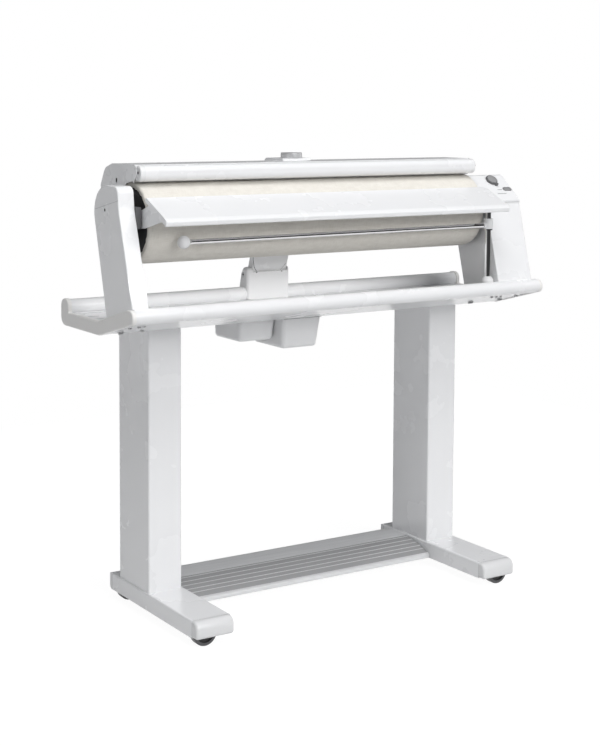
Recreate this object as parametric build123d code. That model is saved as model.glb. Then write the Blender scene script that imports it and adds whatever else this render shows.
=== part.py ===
from build123d import *
import math
import os

# Flatwork ironer with a motor roller on a stand. Millimetres.
# +X runs along the roller to the control arm, +Y to the back, +Z up.
# The floor under the wheels is Z = 0, and the origin is the middle of the footprint.

# ---- lengths along the roller
ROLLER_LENGTH = 800.0
LEFT_ARM_W, RIGHT_ARM_W = 34.0, 93.0
LEFT_GAP, RIGHT_GAP = 16.0, 17.0                    # between the roller's ends and the arms
SPAN = LEFT_ARM_W + LEFT_GAP + ROLLER_LENGTH + RIGHT_GAP + RIGHT_ARM_W
LEFT_X0, RIGHT_X1 = -SPAN / 2, SPAN / 2
LEFT_X1, RIGHT_X0 = LEFT_X0 + LEFT_ARM_W, RIGHT_X1 - RIGHT_ARM_W
ROLLER_X0, ROLLER_X1 = LEFT_X1 + LEFT_GAP, RIGHT_X0 - RIGHT_GAP
MID_X = (ROLLER_X0 + ROLLER_X1) / 2 + 0.5

# ---- stand
WHEEL_R, WHEEL_W = 25.0, 18.0
WHEEL_Y = 154.2              # middle of a wheel's tread
AXLE_R = 5.0
RUN = 0.06                   # running clearance of a shaft in its bore
FOOT_X = SPAN / 2 - 136.2
FOOT_W, FOOT_WALL = 82.0, 2.5
FOOT_LOW = 20.0
FOOT_HIGH = 2 * WHEEL_R + FOOT_WALL + 0.8
FOOT_FRONT, FOOT_BACK = -163.5, 171.0
FOOT_END = 181.0             # the caps reach this far to the front and the back
WHEEL_X = FOOT_X + 11.7
COLUMN_W, COLUMN_FRONT, COLUMN_BACK = 73.5, 16.8, 145.9
COLUMN_WALL = 2.5

# ---- foot rest, hinged on a rod between the feet
REST_HALF = FOOT_X - FOOT_W / 2 - 1.5
REST_PIVOT = (128.0, 40.0)
REST_ROD_R = 4.0
REST_TOP = [(142.3, 54.3), (127.2, 53.7), (108.5, 52.7), (86.0, 50.9), (78.5, 50.1), (61.1, 47.9),
            (46.3, 45.0), (32.2, 41.5), (20.5, 37.7), (5.5, 32.0)]
REST_SKIN = 4.2              # depth of the tread section

# ---- roller
ROLLER_Y, ROLLER_Z, ROLLER_R = -6.8, 785.05, 78.37
SHAFT_R = 10.0
CLOTH_T, PADDING, CORE_WALL = 2.37, 8.0, 3.0
CORE_R = ROLLER_R - CLOTH_T - PADDING

# ---- tray
TRAY_X = SPAN / 2 + 4.0      # half length of the sheet
END_CAP = 8.5
TRAY_TOP = 599.8             # upper skin where it is level
TRAY_UNDER = TRAY_TOP - 25.5
TRAY_BEND_Y = 9.7            # in front of this line the tray slopes up
TRAY_SLOPE = 0.2707
UNDER_BEND_Y = 5.7
UNDER_SLOPE = 0.279
SHEET = 2.0
RAIL_R = 14.7
FRONT_RAIL = (ROLLER_Y - ROLLER_R - 37.93, TRAY_TOP + 22.9)
REAR_RAIL = (158.0, TRAY_TOP + 10.9)

# ---- arms
ARM_WALL = 3.0
ARM_TOP = ROLLER_Z + 72.0
ARM_REAR, REAR_LEAN = (-3.3, 609.0), 0.268
PANEL_LOW = (ROLLER_Y - 66.9, ROLLER_Z + 20.75)     # front and back edge of the sloping control face
PANEL_HIGH = (ROLLER_Y - 5.9, ARM_TOP)
KNOB_X, KNOB_UP = RIGHT_X1 - 41.6, 61.5             # place across and up the sloping face
BUTTON_X, BUTTON_UP = RIGHT_X1 - 14.0, 34.0
BUTTON_L, BUTTON_H, BUTTON_GAP = 24.2, 11.2, 0.2
KNOB_R, STEM_R = 13.5, 4.0

# ---- pressing shoe, hood and lift arm
SHOE_GAP, SHOE_T = 0.7, 6.3
HEATER_R = 3.6
HOOD_X0, HOOD_X1 = ROLLER_X0 - 2.0, ROLLER_X1 + 2.0
HOOD_SKIN, HOOD_PLATE = 1.5, 2.0
HOOD_FRONT = ROLLER_Y - 22.7
HOOD_TOP = ROLLER_Z + ROLLER_R + 32.08
HOOD_FOOT = ROLLER_Z + ROLLER_R + 2.58
SHOE_END_Y = HOOD_FRONT + HOOD_SKIN + 0.1           # the shoe's front edge rests on the hood's front wall
SHOE_START = 8.0                                    # degrees round the roller from +Y
SHOE_END = math.degrees(math.acos((SHOE_END_Y - ROLLER_Y) / (ROLLER_R + SHOE_GAP + SHOE_T)))
PIVOT = (158.0, TRAY_TOP + 51.7)                    # hinge of the lift arm
PIVOT_R = 5.0
LIFT_HALF, LIFT_LEAN = 42.5, 0.364
LIFT_X0, LIFT_X1 = MID_X - LIFT_HALF + 5.0, MID_X + LIFT_HALF + 5.0
LIFT_T = 18.0
SCREW_Y, SCREW_R = 53.0, 5.0

# ---- finger guard
GUARD_DEPTH, GUARD_H, GUARD_WALL = 23.3, 30.2, 2.0
GUARD_BACK = HOOD_FRONT - 0.7
GUARD_TOP = HOOD_TOP - 1.1
GUARD_PIN = (HOOD_FRONT - 4.0, HOOD_TOP - 7.5)
GUARD_PIN_R = 2.0

# ---- feed table
TABLE_X0, TABLE_X1 = ROLLER_X0 - 5.5, ROLLER_X1 + 4.5
TABLE_BACK = (ROLLER_Y - ROLLER_R + 3.87, ROLLER_Z + 51.85)
TABLE_FRONT = (TABLE_BACK[0] - 77.2, TABLE_BACK[1] - 36.0)
TABLE_SHEET = 2.0
TABLE_PIVOT = (ROLLER_Y - 43.2, ROLLER_Z + 6.95)
TABLE_PIN_R = 4.0
LUG_FRONT = TABLE_PIVOT[0] - 14.0                  # front of the lugs that carry the table's pins

# ---- hanging rail and its post
POST_X, POST_Y, POST_R = RIGHT_X0 - 15.5, ROLLER_Y - ROLLER_R - 11.83, 6.0
POST_TOP = ROLLER_Z + 5.95
COLLAR_LOW, COLLAR_R = POST_TOP - 45.0, 7.6
COLLAR_HIGH = COLLAR_LOW + 23.5
RAIL_BAR_R, RAIL_BALL_R = 5.0, 12.5
RAIL_NEAR_Z, RAIL_FAR_Z = COLLAR_LOW + 9.9, COLLAR_LOW + 6.4
RAIL_BALL_X = ROLLER_X0 + 65.5

parts = {}


# ---------------------------------------------------------------- drawing helpers

def outline(points):
    """A face through corners, each (u, v) for a sharp corner or (u, v, radius) for a round one."""
    count = len(points)
    corners = []
    for i, point in enumerate(points):
        u, v = point[:2]
        radius = point[2] if len(point) == 3 else 0
        if radius <= 0:
            corners.append(((u, v), None, (u, v)))
            continue
        before, after = points[i - 1], points[(i + 1) % count]
        back = Vector(before[0] - u, before[1] - v).normalized()
        ahead = Vector(after[0] - u, after[1] - v).normalized()
        half = math.radians(back.get_angle(ahead)) / 2
        corner = Vector(u, v)
        start = corner + back * (radius / math.tan(half))
        end = corner + ahead * (radius / math.tan(half))
        middle = corner + (back + ahead).normalized() * (radius / math.sin(half) - radius)
        corners.append(((start.X, start.Y), (middle.X, middle.Y), (end.X, end.Y)))
    edges = []
    for i, (start, middle, end) in enumerate(corners):
        if middle is not None:
            edges.append(ThreePointArc(start, middle, end))
        following = corners[(i + 1) % count][0]
        if math.dist(end, following) > 1e-4:
            edges.append(Line(end, following))
    return make_face(edges)


def along_x(points, x0, x1):
    """A Y-Z outline carried from x0 to x1."""
    plane = Plane(origin=(x0, 0, 0), x_dir=(0, 1, 0), z_dir=(1, 0, 0))
    return extrude(plane * outline(points), amount=x1 - x0)


def along_y(points, y0, y1):
    """An X-Z outline carried from y0 to y1."""
    plane = Plane(origin=(0, y1, 0), x_dir=(1, 0, 0), z_dir=(0, -1, 0))
    return extrude(plane * outline(points), amount=y1 - y0)


def rod_x(r, x0, x1, y, z):
    return Pos((x0 + x1) / 2, y, z) * Rot(0, 90, 0) * Cylinder(r, abs(x1 - x0))


def rod_y(r, y0, y1, x, z):
    return Pos(x, (y0 + y1) / 2, z) * Rot(90, 0, 0) * Cylinder(r, abs(y1 - y0))


def rod_z(r, z0, z1, x, y):
    return Pos(x, y, (z0 + z1) / 2) * Cylinder(r, z1 - z0)


def box(x0, x1, y0, y1, z0, z1):
    return Pos((x0 + x1) / 2, (y0 + y1) / 2, (z0 + z1) / 2) * Box(x1 - x0, y1 - y0, z1 - z0)


def group(items):
    return Compound(children=[solid for item in items for solid in item.solids()])


def largest(shape):
    return max(shape.solids(), key=lambda solid: solid.volume)


def end_faces(shape):
    """The two faces that close an extrusion along X."""
    faces = shape.faces().sort_by(Axis.X)
    return faces[0], faces[-1]


def tray_z(y):
    """Height of the tray's upper skin at depth y."""
    return TRAY_TOP + max(0.0, (TRAY_BEND_Y - y) * TRAY_SLOPE)


def under_z(y):
    """Height of the tray's underside at depth y."""
    return TRAY_UNDER + max(0.0, (UNDER_BEND_Y - y) * UNDER_SLOPE)


# ---------------------------------------------------------------- feet, wheels, columns

def make_feet():
    """Two channel-section feet, open below, each closed by a rounded front cap and a rear cap."""
    half = FOOT_W / 2
    inner = half - FOOT_WALL
    outside = [(-half, FOOT_LOW), (half, FOOT_LOW), (half, FOOT_HIGH, 3.5), (-half, FOOT_HIGH, 3.5)]
    inside = [(-inner, 0), (inner, 0), (inner, FOOT_HIGH - FOOT_WALL), (-inner, FOOT_HIGH - FOOT_WALL)]
    channel = along_y(outside, FOOT_FRONT, FOOT_BACK) - along_y(inside, FOOT_FRONT - 1, FOOT_BACK + 1)
    for side, name in ((-1, "foot_left"), (1, "foot_right")):
        foot = Pos(side * FOOT_X, 0, 0) * channel
        inner_x = side * (FOOT_X - half)
        parts[name] = foot - rod_x(REST_ROD_R + RUN, inner_x - 6, inner_x + 6, *REST_PIVOT)

    nose = along_x([(FOOT_FRONT, FOOT_LOW), (FOOT_FRONT, FOOT_HIGH), (-FOOT_END, FOOT_HIGH, 15),
                    (-FOOT_END, FOOT_LOW, 7)], -half, half)
    rims = [edge for face in end_faces(nose) for edge in face.edges() if edge.center().Y < FOOT_FRONT - 0.5]
    nose = fillet(rims, 2.5)
    nose -= box(-inner, inner, -FOOT_END + 4, FOOT_FRONT + 1, FOOT_LOW + 3, FOOT_HIGH - 8)
    nose -= box(-10, inner, -FOOT_END + 9, FOOT_FRONT + 1, FOOT_LOW - 1, FOOT_LOW + 4)
    parts["foot_front_caps"] = group([Pos(FOOT_X, 0, 0) * nose,
                                      Pos(-FOOT_X, 0, 0) * mirror(nose, about=Plane.YZ)])

    tail = along_x([(FOOT_BACK, FOOT_LOW), (FOOT_BACK, FOOT_HIGH), (FOOT_END, FOOT_HIGH, 3.5),
                    (FOOT_END, FOOT_LOW, 8)], -half, half)
    tail -= box(-inner, inner, FOOT_BACK - 1, FOOT_END - 3, FOOT_LOW + 3, FOOT_HIGH - 3)
    parts["foot_rear_caps"] = group([Pos(side * FOOT_X, 0, 0) * tail for side in (-1, 1)])


def make_wheels():
    """Four fixed wheels inside the feet, each on a stub axle in a cross plate."""
    plate_t, head_t, side_gap = 4.0, 1.8, 0.5
    inner = FOOT_W / 2 - FOOT_WALL
    tread_in, tread_out = WHEEL_Y - WHEEL_W / 2, WHEEL_Y + WHEEL_W / 2
    plate_out = tread_in - side_gap
    head_in = tread_out + side_gap
    plates, axles = [], []
    for side_x, side in ((-1, "left"), (1, "right")):
        for side_y, end in ((-1, "front"), (1, "rear")):
            x = side_x * WHEEL_X
            plate_y = sorted((side_y * (plate_out - plate_t), side_y * plate_out))
            plate = box(side_x * FOOT_X - inner, side_x * FOOT_X + inner, *plate_y,
                        FOOT_LOW + 1.5, FOOT_HIGH - FOOT_WALL)
            plates.append(plate - rod_y(AXLE_R, plate_y[0] - 1, plate_y[1] + 1, x, WHEEL_R))
            stub = rod_y(AXLE_R, side_y * (plate_out - plate_t), side_y * head_in, x, WHEEL_R)
            axles.append(stub + rod_y(AXLE_R + 3, side_y * head_in, side_y * (head_in + head_t), x, WHEEL_R))
            wheel = rod_y(WHEEL_R, side_y * tread_in, side_y * tread_out, x, WHEEL_R)
            wheel = fillet(wheel.edges().filter_by(GeomType.CIRCLE), 2.5)
            wheel -= rod_y(AXLE_R + RUN, side_y * (tread_in - 1), side_y * (tread_out + 1), x, WHEEL_R)
            dish = rod_y(WHEEL_R - 7, side_y * (tread_out - 2), side_y * (tread_out + 2), x, WHEEL_R)
            dish -= rod_y(AXLE_R + 4, side_y * (tread_out - 3), side_y * (tread_out + 3), x, WHEEL_R)
            parts[f"wheel_{end}_{side}"] = wheel - dish
    parts["wheel_mounts"] = group(plates)
    parts["wheel_axles"] = group(axles)


def make_columns():
    depth, height = COLUMN_BACK - COLUMN_FRONT, TRAY_UNDER - FOOT_HIGH
    tube = extrude(RectangleRounded(COLUMN_W, depth, 4), amount=height)
    tube -= extrude(RectangleRounded(COLUMN_W - 2 * COLUMN_WALL, depth - 2 * COLUMN_WALL, 1.5), amount=height)
    for side, name in ((-1, "column_left"), (1, "column_right")):
        parts[name] = Pos(side * FOOT_X, (COLUMN_FRONT + COLUMN_BACK) / 2, FOOT_HIGH) * tube


# ---------------------------------------------------------------- foot rest

def strip(start, end, top, bottom):
    """A flat strip along one step of the tread, between two depths under its surface."""
    along = Vector(end[0] - start[0], end[1] - start[1]).normalized()
    down = Vector(-along.Y, along.X)
    if down.Y > 0:
        down = -down
    first, last = Vector(*start) + along * 0.8, Vector(*end) - along * 0.8
    corners = (first + down * top, last + down * top, last + down * bottom, first + down * bottom)
    return along_x([(corner.X, corner.Y) for corner in corners], -REST_HALF, REST_HALF)


def make_foot_rest():
    """Ribbed tread plate with dark grip strips, a rolled front lip and hinge webs at the back."""
    back_y, back_z = REST_TOP[0]
    under = [(y, z - REST_SKIN) for y, z in reversed(REST_TOP[1:-1])]
    section = [(back_y, back_z, 1.5)] + REST_TOP[1:] + [
        (-0.8, 29.6, 5.0), (-0.2, 20.7, 3.6), (9.0, 20.7, 1.2), (9.0, 26.0)]
    section += under + [(back_y - 4.5, back_z - 5.1), (back_y - 4.5, 30.0), (back_y, 30.0)]
    plate = along_x(section, -REST_HALF, REST_HALF)
    grips = []
    for start, end in zip(REST_TOP[3:-1], REST_TOP[4:]):
        plate -= strip(start, end, -1.0, 1.6)
        grips.append(strip(start, end, 0.5, 1.6))
    web = [(back_y - 4.4, 50.5), (120.0, 49.4), (117.0, 40.0), (121.0, 33.0), (back_y - 4.4, 33.0)]
    for x0, x1 in ((-REST_HALF, -REST_HALF + 14), (REST_HALF - 14, REST_HALF), (-7, 7)):
        plate += along_x(web, x0, x1)
    parts["foot_rest_plate"] = plate - rod_x(REST_ROD_R, -REST_HALF - 1, REST_HALF + 1, *REST_PIVOT)
    parts["foot_rest_grips"] = group(grips)
    rod_half = FOOT_X - FOOT_W / 2 + FOOT_WALL + 0.3
    parts["foot_rest_rod"] = rod_x(REST_ROD_R, -rod_half, rod_half, *REST_PIVOT)


# ---------------------------------------------------------------- tray

def make_tray():
    """Folded sheet tray between two round rails, with moulded end caps."""
    nose_y, back_y = FRONT_RAIL[0] + 6.6, 168.5
    top = [(nose_y - 1.9, tray_z(nose_y - 1.9)), (TRAY_BEND_Y, TRAY_TOP, 12), (back_y - 16.5, TRAY_TOP)]
    low = [(back_y, TRAY_TOP - 3.8), (back_y, TRAY_UNDER, 9), (UNDER_BEND_Y, TRAY_UNDER, 14),
           (nose_y, under_z(nose_y)), (FRONT_RAIL[0], under_z(nose_y) + 3.6)]
    pan = along_x(top + low, -TRAY_X, TRAY_X)
    inside_y = nose_y + 4.5
    pan -= along_x([
        (inside_y, tray_z(inside_y) - SHEET), (TRAY_BEND_Y, TRAY_TOP - SHEET, 11),
        (back_y - 18.5, TRAY_TOP - SHEET), (back_y - SHEET, TRAY_TOP - 5.8),
        (back_y - SHEET, TRAY_UNDER + SHEET, 7), (UNDER_BEND_Y, TRAY_UNDER + SHEET, 14),
        (inside_y, under_z(inside_y) + SHEET)], -TRAY_X - 1, TRAY_X + 1)
    for place, name in ((FRONT_RAIL, "tray_front_rail"), (REAR_RAIL, "tray_rear_rail")):
        rail = rod_x(RAIL_R, -TRAY_X, TRAY_X, *place)
        pan -= rail
        parts[name] = rail - rod_x(RAIL_R - SHEET, -TRAY_X - 1, TRAY_X + 1, *place)
    parts["tray_pan"] = group(solid for solid in pan.solids() if solid.volume > 1000)

    front_y, front_z = FRONT_RAIL
    rear_y, rear_z = REAR_RAIL
    cap = along_x([
        (front_y - 13.4, front_z + 14.3, 13), (front_y + 12.1, front_z + 11.8),
        (TRAY_BEND_Y, TRAY_TOP + 0.8, 12), (rear_y - 17.0, TRAY_TOP + 0.8, 3),
        (rear_y - 17.0, rear_z + 16.3, 14), (rear_y + 17.0, rear_z + 16.3, 15),
        (rear_y + 18.5, TRAY_UNDER - 0.8, 19), (UNDER_BEND_Y, TRAY_UNDER - 1.0, 14),
        (front_y + 1.1, front_z - 15.1, 10), (front_y - 15.9, front_z - 11.7, 12)], TRAY_X, TRAY_X + END_CAP)
    cap = fillet(end_faces(cap)[1].edges(), 3.0)
    parts["tray_end_caps"] = group([cap, mirror(cap, about=Plane.YZ)])

    lean = math.degrees(math.atan(UNDER_SLOPE))
    bolts = []
    under_left = [(18, -66, 4, 3), (34, -72, 4, 3), (44, -74, 3, 5), (28, -8, 7, 4), (70, -14, 4, 1.5)]
    under_right = [(98, -30, 7, 4), (25, -40, 7, 4), (72, -84, 4, 3), (56, -80, 3, 5), (88, -88, 4, 3),
                   (10, -76, 4, 3), (2, -86, 3, 5)]
    places = [(LEFT_X0 + step, *rest) for step, *rest in under_left]
    places += [(RIGHT_X1 - step, *rest) for step, *rest in under_right]
    for x, y, radius, height in places:
        seat = Pos(x, y, under_z(y)) * Rot(-lean, 0, 0)
        bolts.append(seat * Pos(0, 0, -height / 2) * Cylinder(radius, height))
    parts["tray_bolts"] = group(bolts)


# ---------------------------------------------------------------- lift pivot and the casings under the tray

def lift_front(z):
    """Depth of the lift arm's leaning front face at height z."""
    return PIVOT[0] - 11.0 - LIFT_LEAN * (z - PIVOT[1] - 6.5)


def make_pivot():
    """Moulded block on the tray and rear rail, slotted for the lift arm, with the hinge pin through it."""
    x0, x1 = LIFT_X0 - 14.5, LIFT_X1 + 4.5
    y, z = PIVOT
    front = y - 17.5
    block = along_x([(front, TRAY_TOP), (front, z + 14, 7), (y + 2.5, z + 16.5, 9), (y + 12, z + 2.5, 6),
                     (y + 20, z - 29.5, 3), (y + 18, z - 39.5)], x0, x1)
    upright = [edge for edge in block.edges().filter_by(Axis.Z) if abs(edge.center().Y - front) < 0.1]
    left_edge, right_edge = sorted(upright, key=lambda edge: edge.center().X)
    block = fillet(left_edge, 7)
    right_edge = [edge for edge in block.edges().filter_by(Axis.Z)
                  if abs(edge.center().Y - front) < 0.1 and edge.center().X > x1 - 0.1]
    block = fillet(right_edge, 4)
    block -= rod_x(RAIL_R, x0 - 1, x1 + 1, *REAR_RAIL)
    block -= box(x0 - 1, x1 + 1, REAR_RAIL[0], y + 40, TRAY_UNDER, REAR_RAIL[1] + 0.8)
    block -= box(LIFT_X0 - 0.6, LIFT_X1 + 0.6, y - 13, y + 40, z - 18, z + 40)
    block -= box(LIFT_X0 - 0.6, LIFT_X1 + 0.6, front - 1, y - 12, z + 5.5, z + 40)
    block -= rod_x(PIVOT_R, x0 + 1.5, x1 - 1.5, y, z)
    block -= box(x0 - 1, x0 + 1.5, y - 3.5, y + 3.5, z - 6, z + 6)
    parts["pivot_block"] = largest(block)
    parts["pivot_pin"] = rod_x(PIVOT_R, x0 + 1.6, x1 - 1.6, y, z)


def tapered(x0, x1, y0, y1, z0, radius, draft):
    """A block that hangs down from the tray and narrows to the right, front and back, out of its mould."""
    depth = TRAY_UNDER - z0
    low_x1, low_y0, low_y1 = x1 - depth * draft, y0 + depth * draft / 2, y1 - depth * draft / 2
    rims = []
    for right, front, back, z in ((x1, y0, y1, TRAY_UNDER), (low_x1, low_y0, low_y1, z0)):
        rim = RectangleRounded(right - x0, back - front, radius)
        rims.append(Pos((x0 + right) / 2, (front + back) / 2, z) * rim)
    return loft(rims)


def tub(x0, x1, y0, y1, z0, radius, draft=0.14):
    """A moulded cover hung under the tray, open at the top."""
    wall = 3.0
    outer = tapered(x0, x1, y0, y1, z0, radius, draft)
    outer = fillet(outer.faces().sort_by(Axis.Z)[0].edges(), radius - 1)
    return outer - tapered(x0 + wall, x1 - wall, y0 + wall, y1 - wall, z0 + wall, radius - wall, draft)


def make_casings():
    """Covers of the lift gear and its motor, and what they hold."""
    gear_x0, gear_x1 = -76.0, 17.5
    flange_t, flange_w = 2.5, 7.0
    gear = tub(gear_x0, gear_x1, 7.6, 131.0, TRAY_UNDER - 62.3, 9)
    gear += box(gear_x1 - 0.5, gear_x1 + flange_w, 18.0, 122.0, TRAY_UNDER - flange_t, TRAY_UNDER)
    parts["lift_gear_casing"] = gear
    parts["lift_motor_casing"] = tub(gear_x0 - 87.0, gear_x0, 36.0, 143.0, TRAY_UNDER - 45.3, 9)
    motor_z = TRAY_UNDER - 22.0
    motor = rod_x(18.0, gear_x0 - 78, gear_x0 - 24, 88.0, motor_z)
    motor += box(gear_x0 - 64, gear_x0 - 38, 78.0, 98.0, motor_z, TRAY_UNDER)
    gearbox = box(gear_x0 + 10, gear_x0 + 78, 30.0, 112.0, TRAY_UNDER - 56, TRAY_UNDER)
    parts["lift_motor"] = group([motor, fillet(gearbox.edges().filter_by(Axis.Z), 6)])
    seat_z = TRAY_UNDER - flange_t
    heads = [rod_z(3.2, seat_z - 2.6, seat_z, gear_x1 + 4.8, y) for y in (30, 104)]
    heads.append(rod_x(2.9, LEFT_X0 + 1.2, LEFT_X0 + 3, *ARM_SCREW))
    parts["cover_screws"] = group(heads)


# ---------------------------------------------------------------- arms

ARM_SCREW = (ROLLER_Y + 6.8, ROLLER_Z + 25.75)


def rear_y(z):
    """Depth of an arm's leaning rear face at height z."""
    return ARM_REAR[0] + (z - ARM_REAR[1]) * REAR_LEAN


def arm_outline(side, inset, drop):
    """Side view of an arm, or of the hollow inside it."""
    top = ARM_TOP - inset
    heel = rear_y(TRAY_TOP + 4.2) - inset
    rear = (rear_y(ARM_TOP) - 1.3 * inset, top, 52 - inset)
    if side == "left":
        toe = FRONT_RAIL[0] + 9.8
        front = [(ROLLER_Y - 50.3 + inset, top - 43, 60), (ROLLER_Y - 45.7 + inset, top, 15 - inset)]
    else:
        toe = FRONT_RAIL[0] + 7.2
        front = [(PANEL_LOW[0] + 0.7 + inset, PANEL_LOW[1] - 7.8 - inset),
                 (PANEL_LOW[0] + inset, PANEL_LOW[1] - 0.3 * inset, 2.5),
                 (PANEL_HIGH[0] + 0.5 * inset, top, 8)]
    return [(toe + 1.05 * inset, tray_z(toe) - drop)] + front + [rear, (heel, tray_z(heel) - drop)]


def make_arm(side, x0, x1, seam):
    """Hollow arm on the tray, split at the seam line into a shell and a top cover."""
    outer = along_x(arm_outline(side, 0, 0), x0, x1)
    low = TRAY_TOP + 60
    rims = [edge for face in end_faces(outer) for edge in face.edges() if edge.center().Z > low]
    outer = fillet(rims, 2.5)
    hollow = outer - along_x(arm_outline(side, ARM_WALL, 1.0), x0 + ARM_WALL, x1 - ARM_WALL)
    hollow -= rod_x(RAIL_R, x0 - 1, x1 + 1, *FRONT_RAIL)
    (ya, za), (yb, zb) = seam
    rise = (zb - za) / (yb - ya)
    near, far = -200, 200
    above = along_x([(near, za + (near - ya) * rise), (far, za + (far - ya) * rise),
                     (far, ARM_TOP + 50), (near, ARM_TOP + 50)], x0 - 5, x1 + 5)
    return hollow - above, hollow & above


def make_arms():
    left_seam = ((ROLLER_Y - 45.3, ARM_TOP - 27.0), (ROLLER_Y + 50.9, ARM_TOP - 47.2))
    right_seam = ((PANEL_LOW[0] + 1.2, PANEL_LOW[1] - 4.2), (ROLLER_Y + 52.8, ROLLER_Z - 8.35))
    shell, cover = make_arm("left", LEFT_X0, LEFT_X1, left_seam)
    shaft_hole = rod_x(SHAFT_R + 1, LEFT_X1 - ARM_WALL - 1, LEFT_X1 + 1, ROLLER_Y, ROLLER_Z)
    recess = rod_x(3.0, LEFT_X0 - 1, LEFT_X0 + 1.2, *ARM_SCREW) + rod_x(2.9, LEFT_X0, LEFT_X0 + 4, *ARM_SCREW)
    parts["left_arm_shell"] = shell - shaft_hole - recess
    parts["left_arm_cover"] = cover

    shell, cover = make_arm("right", RIGHT_X0, RIGHT_X1, right_seam)
    shaft_hole = rod_x(SHAFT_R + 1, RIGHT_X0 - 1, RIGHT_X0 + ARM_WALL + 1, ROLLER_Y, ROLLER_Z)
    parts["right_arm_shell"] = shell - shaft_hole
    cover -= shaft_hole
    cover -= control_face(KNOB_X, KNOB_UP, 0) * Cylinder(STEM_R + RUN, 30)
    slot = SlotOverall(BUTTON_L + 2 * BUTTON_GAP, BUTTON_H + 2 * BUTTON_GAP)
    cover -= extrude(control_face(BUTTON_X, BUTTON_UP, -8) * slot, amount=20)
    cover += control_face(KNOB_X, KNOB_UP, 0.2) * (Cylinder(KNOB_R + 4.5, 0.4) - Cylinder(KNOB_R + 1.5, 0.4))
    parts["control_cover"] = cover

    bearings = []
    for face, end, outward in ((LEFT_X1, ROLLER_X0 - 3, 1), (RIGHT_X0, ROLLER_X1 + 3, -1)):
        ring = rod_x(SHAFT_R + 7, face, end, ROLLER_Y, ROLLER_Z)
        ring += rod_x(SHAFT_R + 20, face, face + outward * 4, ROLLER_Y, ROLLER_Z)
        bearings.append(ring - rod_x(SHAFT_R + RUN, face - outward, end + outward, ROLLER_Y, ROLLER_Z))
    parts["roller_bearings"] = group(bearings)

    wall_x = RIGHT_X0 + ARM_WALL
    motor = rod_x(36.0, wall_x, wall_x + 34, ROLLER_Y, ROLLER_Z)
    motor += rod_x(30.0, wall_x, RIGHT_X1 - ARM_WALL - 7, ROLLER_Y, ROLLER_Z)
    parts["gear_motor"] = motor - rod_x(SHAFT_R + RUN, wall_x - 1, wall_x + 31, ROLLER_Y, ROLLER_Z)


# ---------------------------------------------------------------- controls on the sloping face

def control_face(x, up, out):
    """Plane on the sloping face: x across it, up from its front edge, out of the surface."""
    slope = Vector(0, PANEL_HIGH[0] - PANEL_LOW[0], PANEL_HIGH[1] - PANEL_LOW[1]).normalized()
    normal = Vector(0, -slope.Z, slope.Y)
    origin = Vector(x, PANEL_LOW[0], PANEL_LOW[1]) + slope * up + normal * out
    return Plane(origin=origin, x_dir=(1, 0, 0), z_dir=normal)


def make_controls():
    """Temperature knob with its pointer tab, the oval button and the switch under it."""
    lift = 0.7
    knob = Pos(0, 0, lift + 5.7) * Cylinder(KNOB_R, 11.4)
    knob = fillet(knob.faces().sort_by(Axis.Z)[-1].edges(), 2.0)
    tab = fillet((Pos(0, -9.5, lift + 4.5) * Box(7.5, 16, 9)).edges().filter_by(Axis.Z), 1.5)
    knob += Rot(0, 0, -38) * tab
    knob += Pos(0, 0, -3.0) * Cylinder(STEM_R, 9)
    parts["control_knob"] = control_face(KNOB_X, KNOB_UP, 0) * knob
    button = extrude(SlotOverall(BUTTON_L, BUTTON_H), amount=8.0)
    parts["power_button"] = control_face(BUTTON_X, BUTTON_UP, -5.5) * button
    reach = RIGHT_X1 - ARM_WALL - BUTTON_X
    parts["button_switch"] = control_face(BUTTON_X, BUTTON_UP, -10.5) * Box(2 * reach, BUTTON_H, 6)


# ---------------------------------------------------------------- roller

def make_roller():
    """Steel tube on a through shaft, wrapped in padding and a fitted cloth with drawn-in ends."""
    end = 5.0
    x0, x1 = ROLLER_X0 + end, ROLLER_X1 - end
    core = rod_x(CORE_R, x0, x1, ROLLER_Y, ROLLER_Z)
    core -= rod_x(CORE_R - CORE_WALL, x0 + 4, x1 - 4, ROLLER_Y, ROLLER_Z)
    shaft = rod_x(SHAFT_R, LEFT_X1 - 6, RIGHT_X0 + 33, ROLLER_Y, ROLLER_Z)
    padding = rod_x(CORE_R + PADDING, x0, x1, ROLLER_Y, ROLLER_Z)
    cloth = rod_x(ROLLER_R, ROLLER_X0, ROLLER_X1, ROLLER_Y, ROLLER_Z)
    cloth = fillet(cloth.edges().filter_by(GeomType.CIRCLE), 9.0)
    parts["roller_core"] = core - shaft
    parts["roller_shaft"] = shaft
    parts["roller_padding"] = padding - rod_x(CORE_R, x0, x1, ROLLER_Y, ROLLER_Z)
    parts["roller_cloth"] = cloth - padding - rod_x(CORE_R - 16, ROLLER_X0, ROLLER_X1, ROLLER_Y, ROLLER_Z)


# ---------------------------------------------------------------- pressing shoe

def round_roller(radius, angle):
    """Depth and height of a point at an angle from +Y round the roller's axis."""
    turn = math.radians(angle)
    return ROLLER_Y + radius * math.cos(turn), ROLLER_Z + radius * math.sin(turn)


def make_shoe():
    """Curved plate over the roller's back and top, with two heating rods let into it."""
    inner = ROLLER_R + SHOE_GAP
    outer = inner + SHOE_T
    shoe = rod_x(outer, HOOD_X0, HOOD_X1, ROLLER_Y, ROLLER_Z)
    shoe -= rod_x(inner, HOOD_X0, HOOD_X1, ROLLER_Y, ROLLER_Z)
    angles = [SHOE_START + (SHOE_END - SHOE_START) * i / 4 for i in range(5)]
    fan = [(ROLLER_Y, ROLLER_Z)] + [round_roller(2 * outer, angle) for angle in angles]
    shoe &= along_x(fan, HOOD_X0, HOOD_X1)
    rods = [rod_x(HEATER_R, HOOD_X0 + 3, HOOD_X1 - 3, *round_roller(outer, angle)) for angle in (35, 75)]
    parts["heated_shoe"] = shoe - rods[0] - rods[1]
    parts["heating_rods"] = group(rods)


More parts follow.
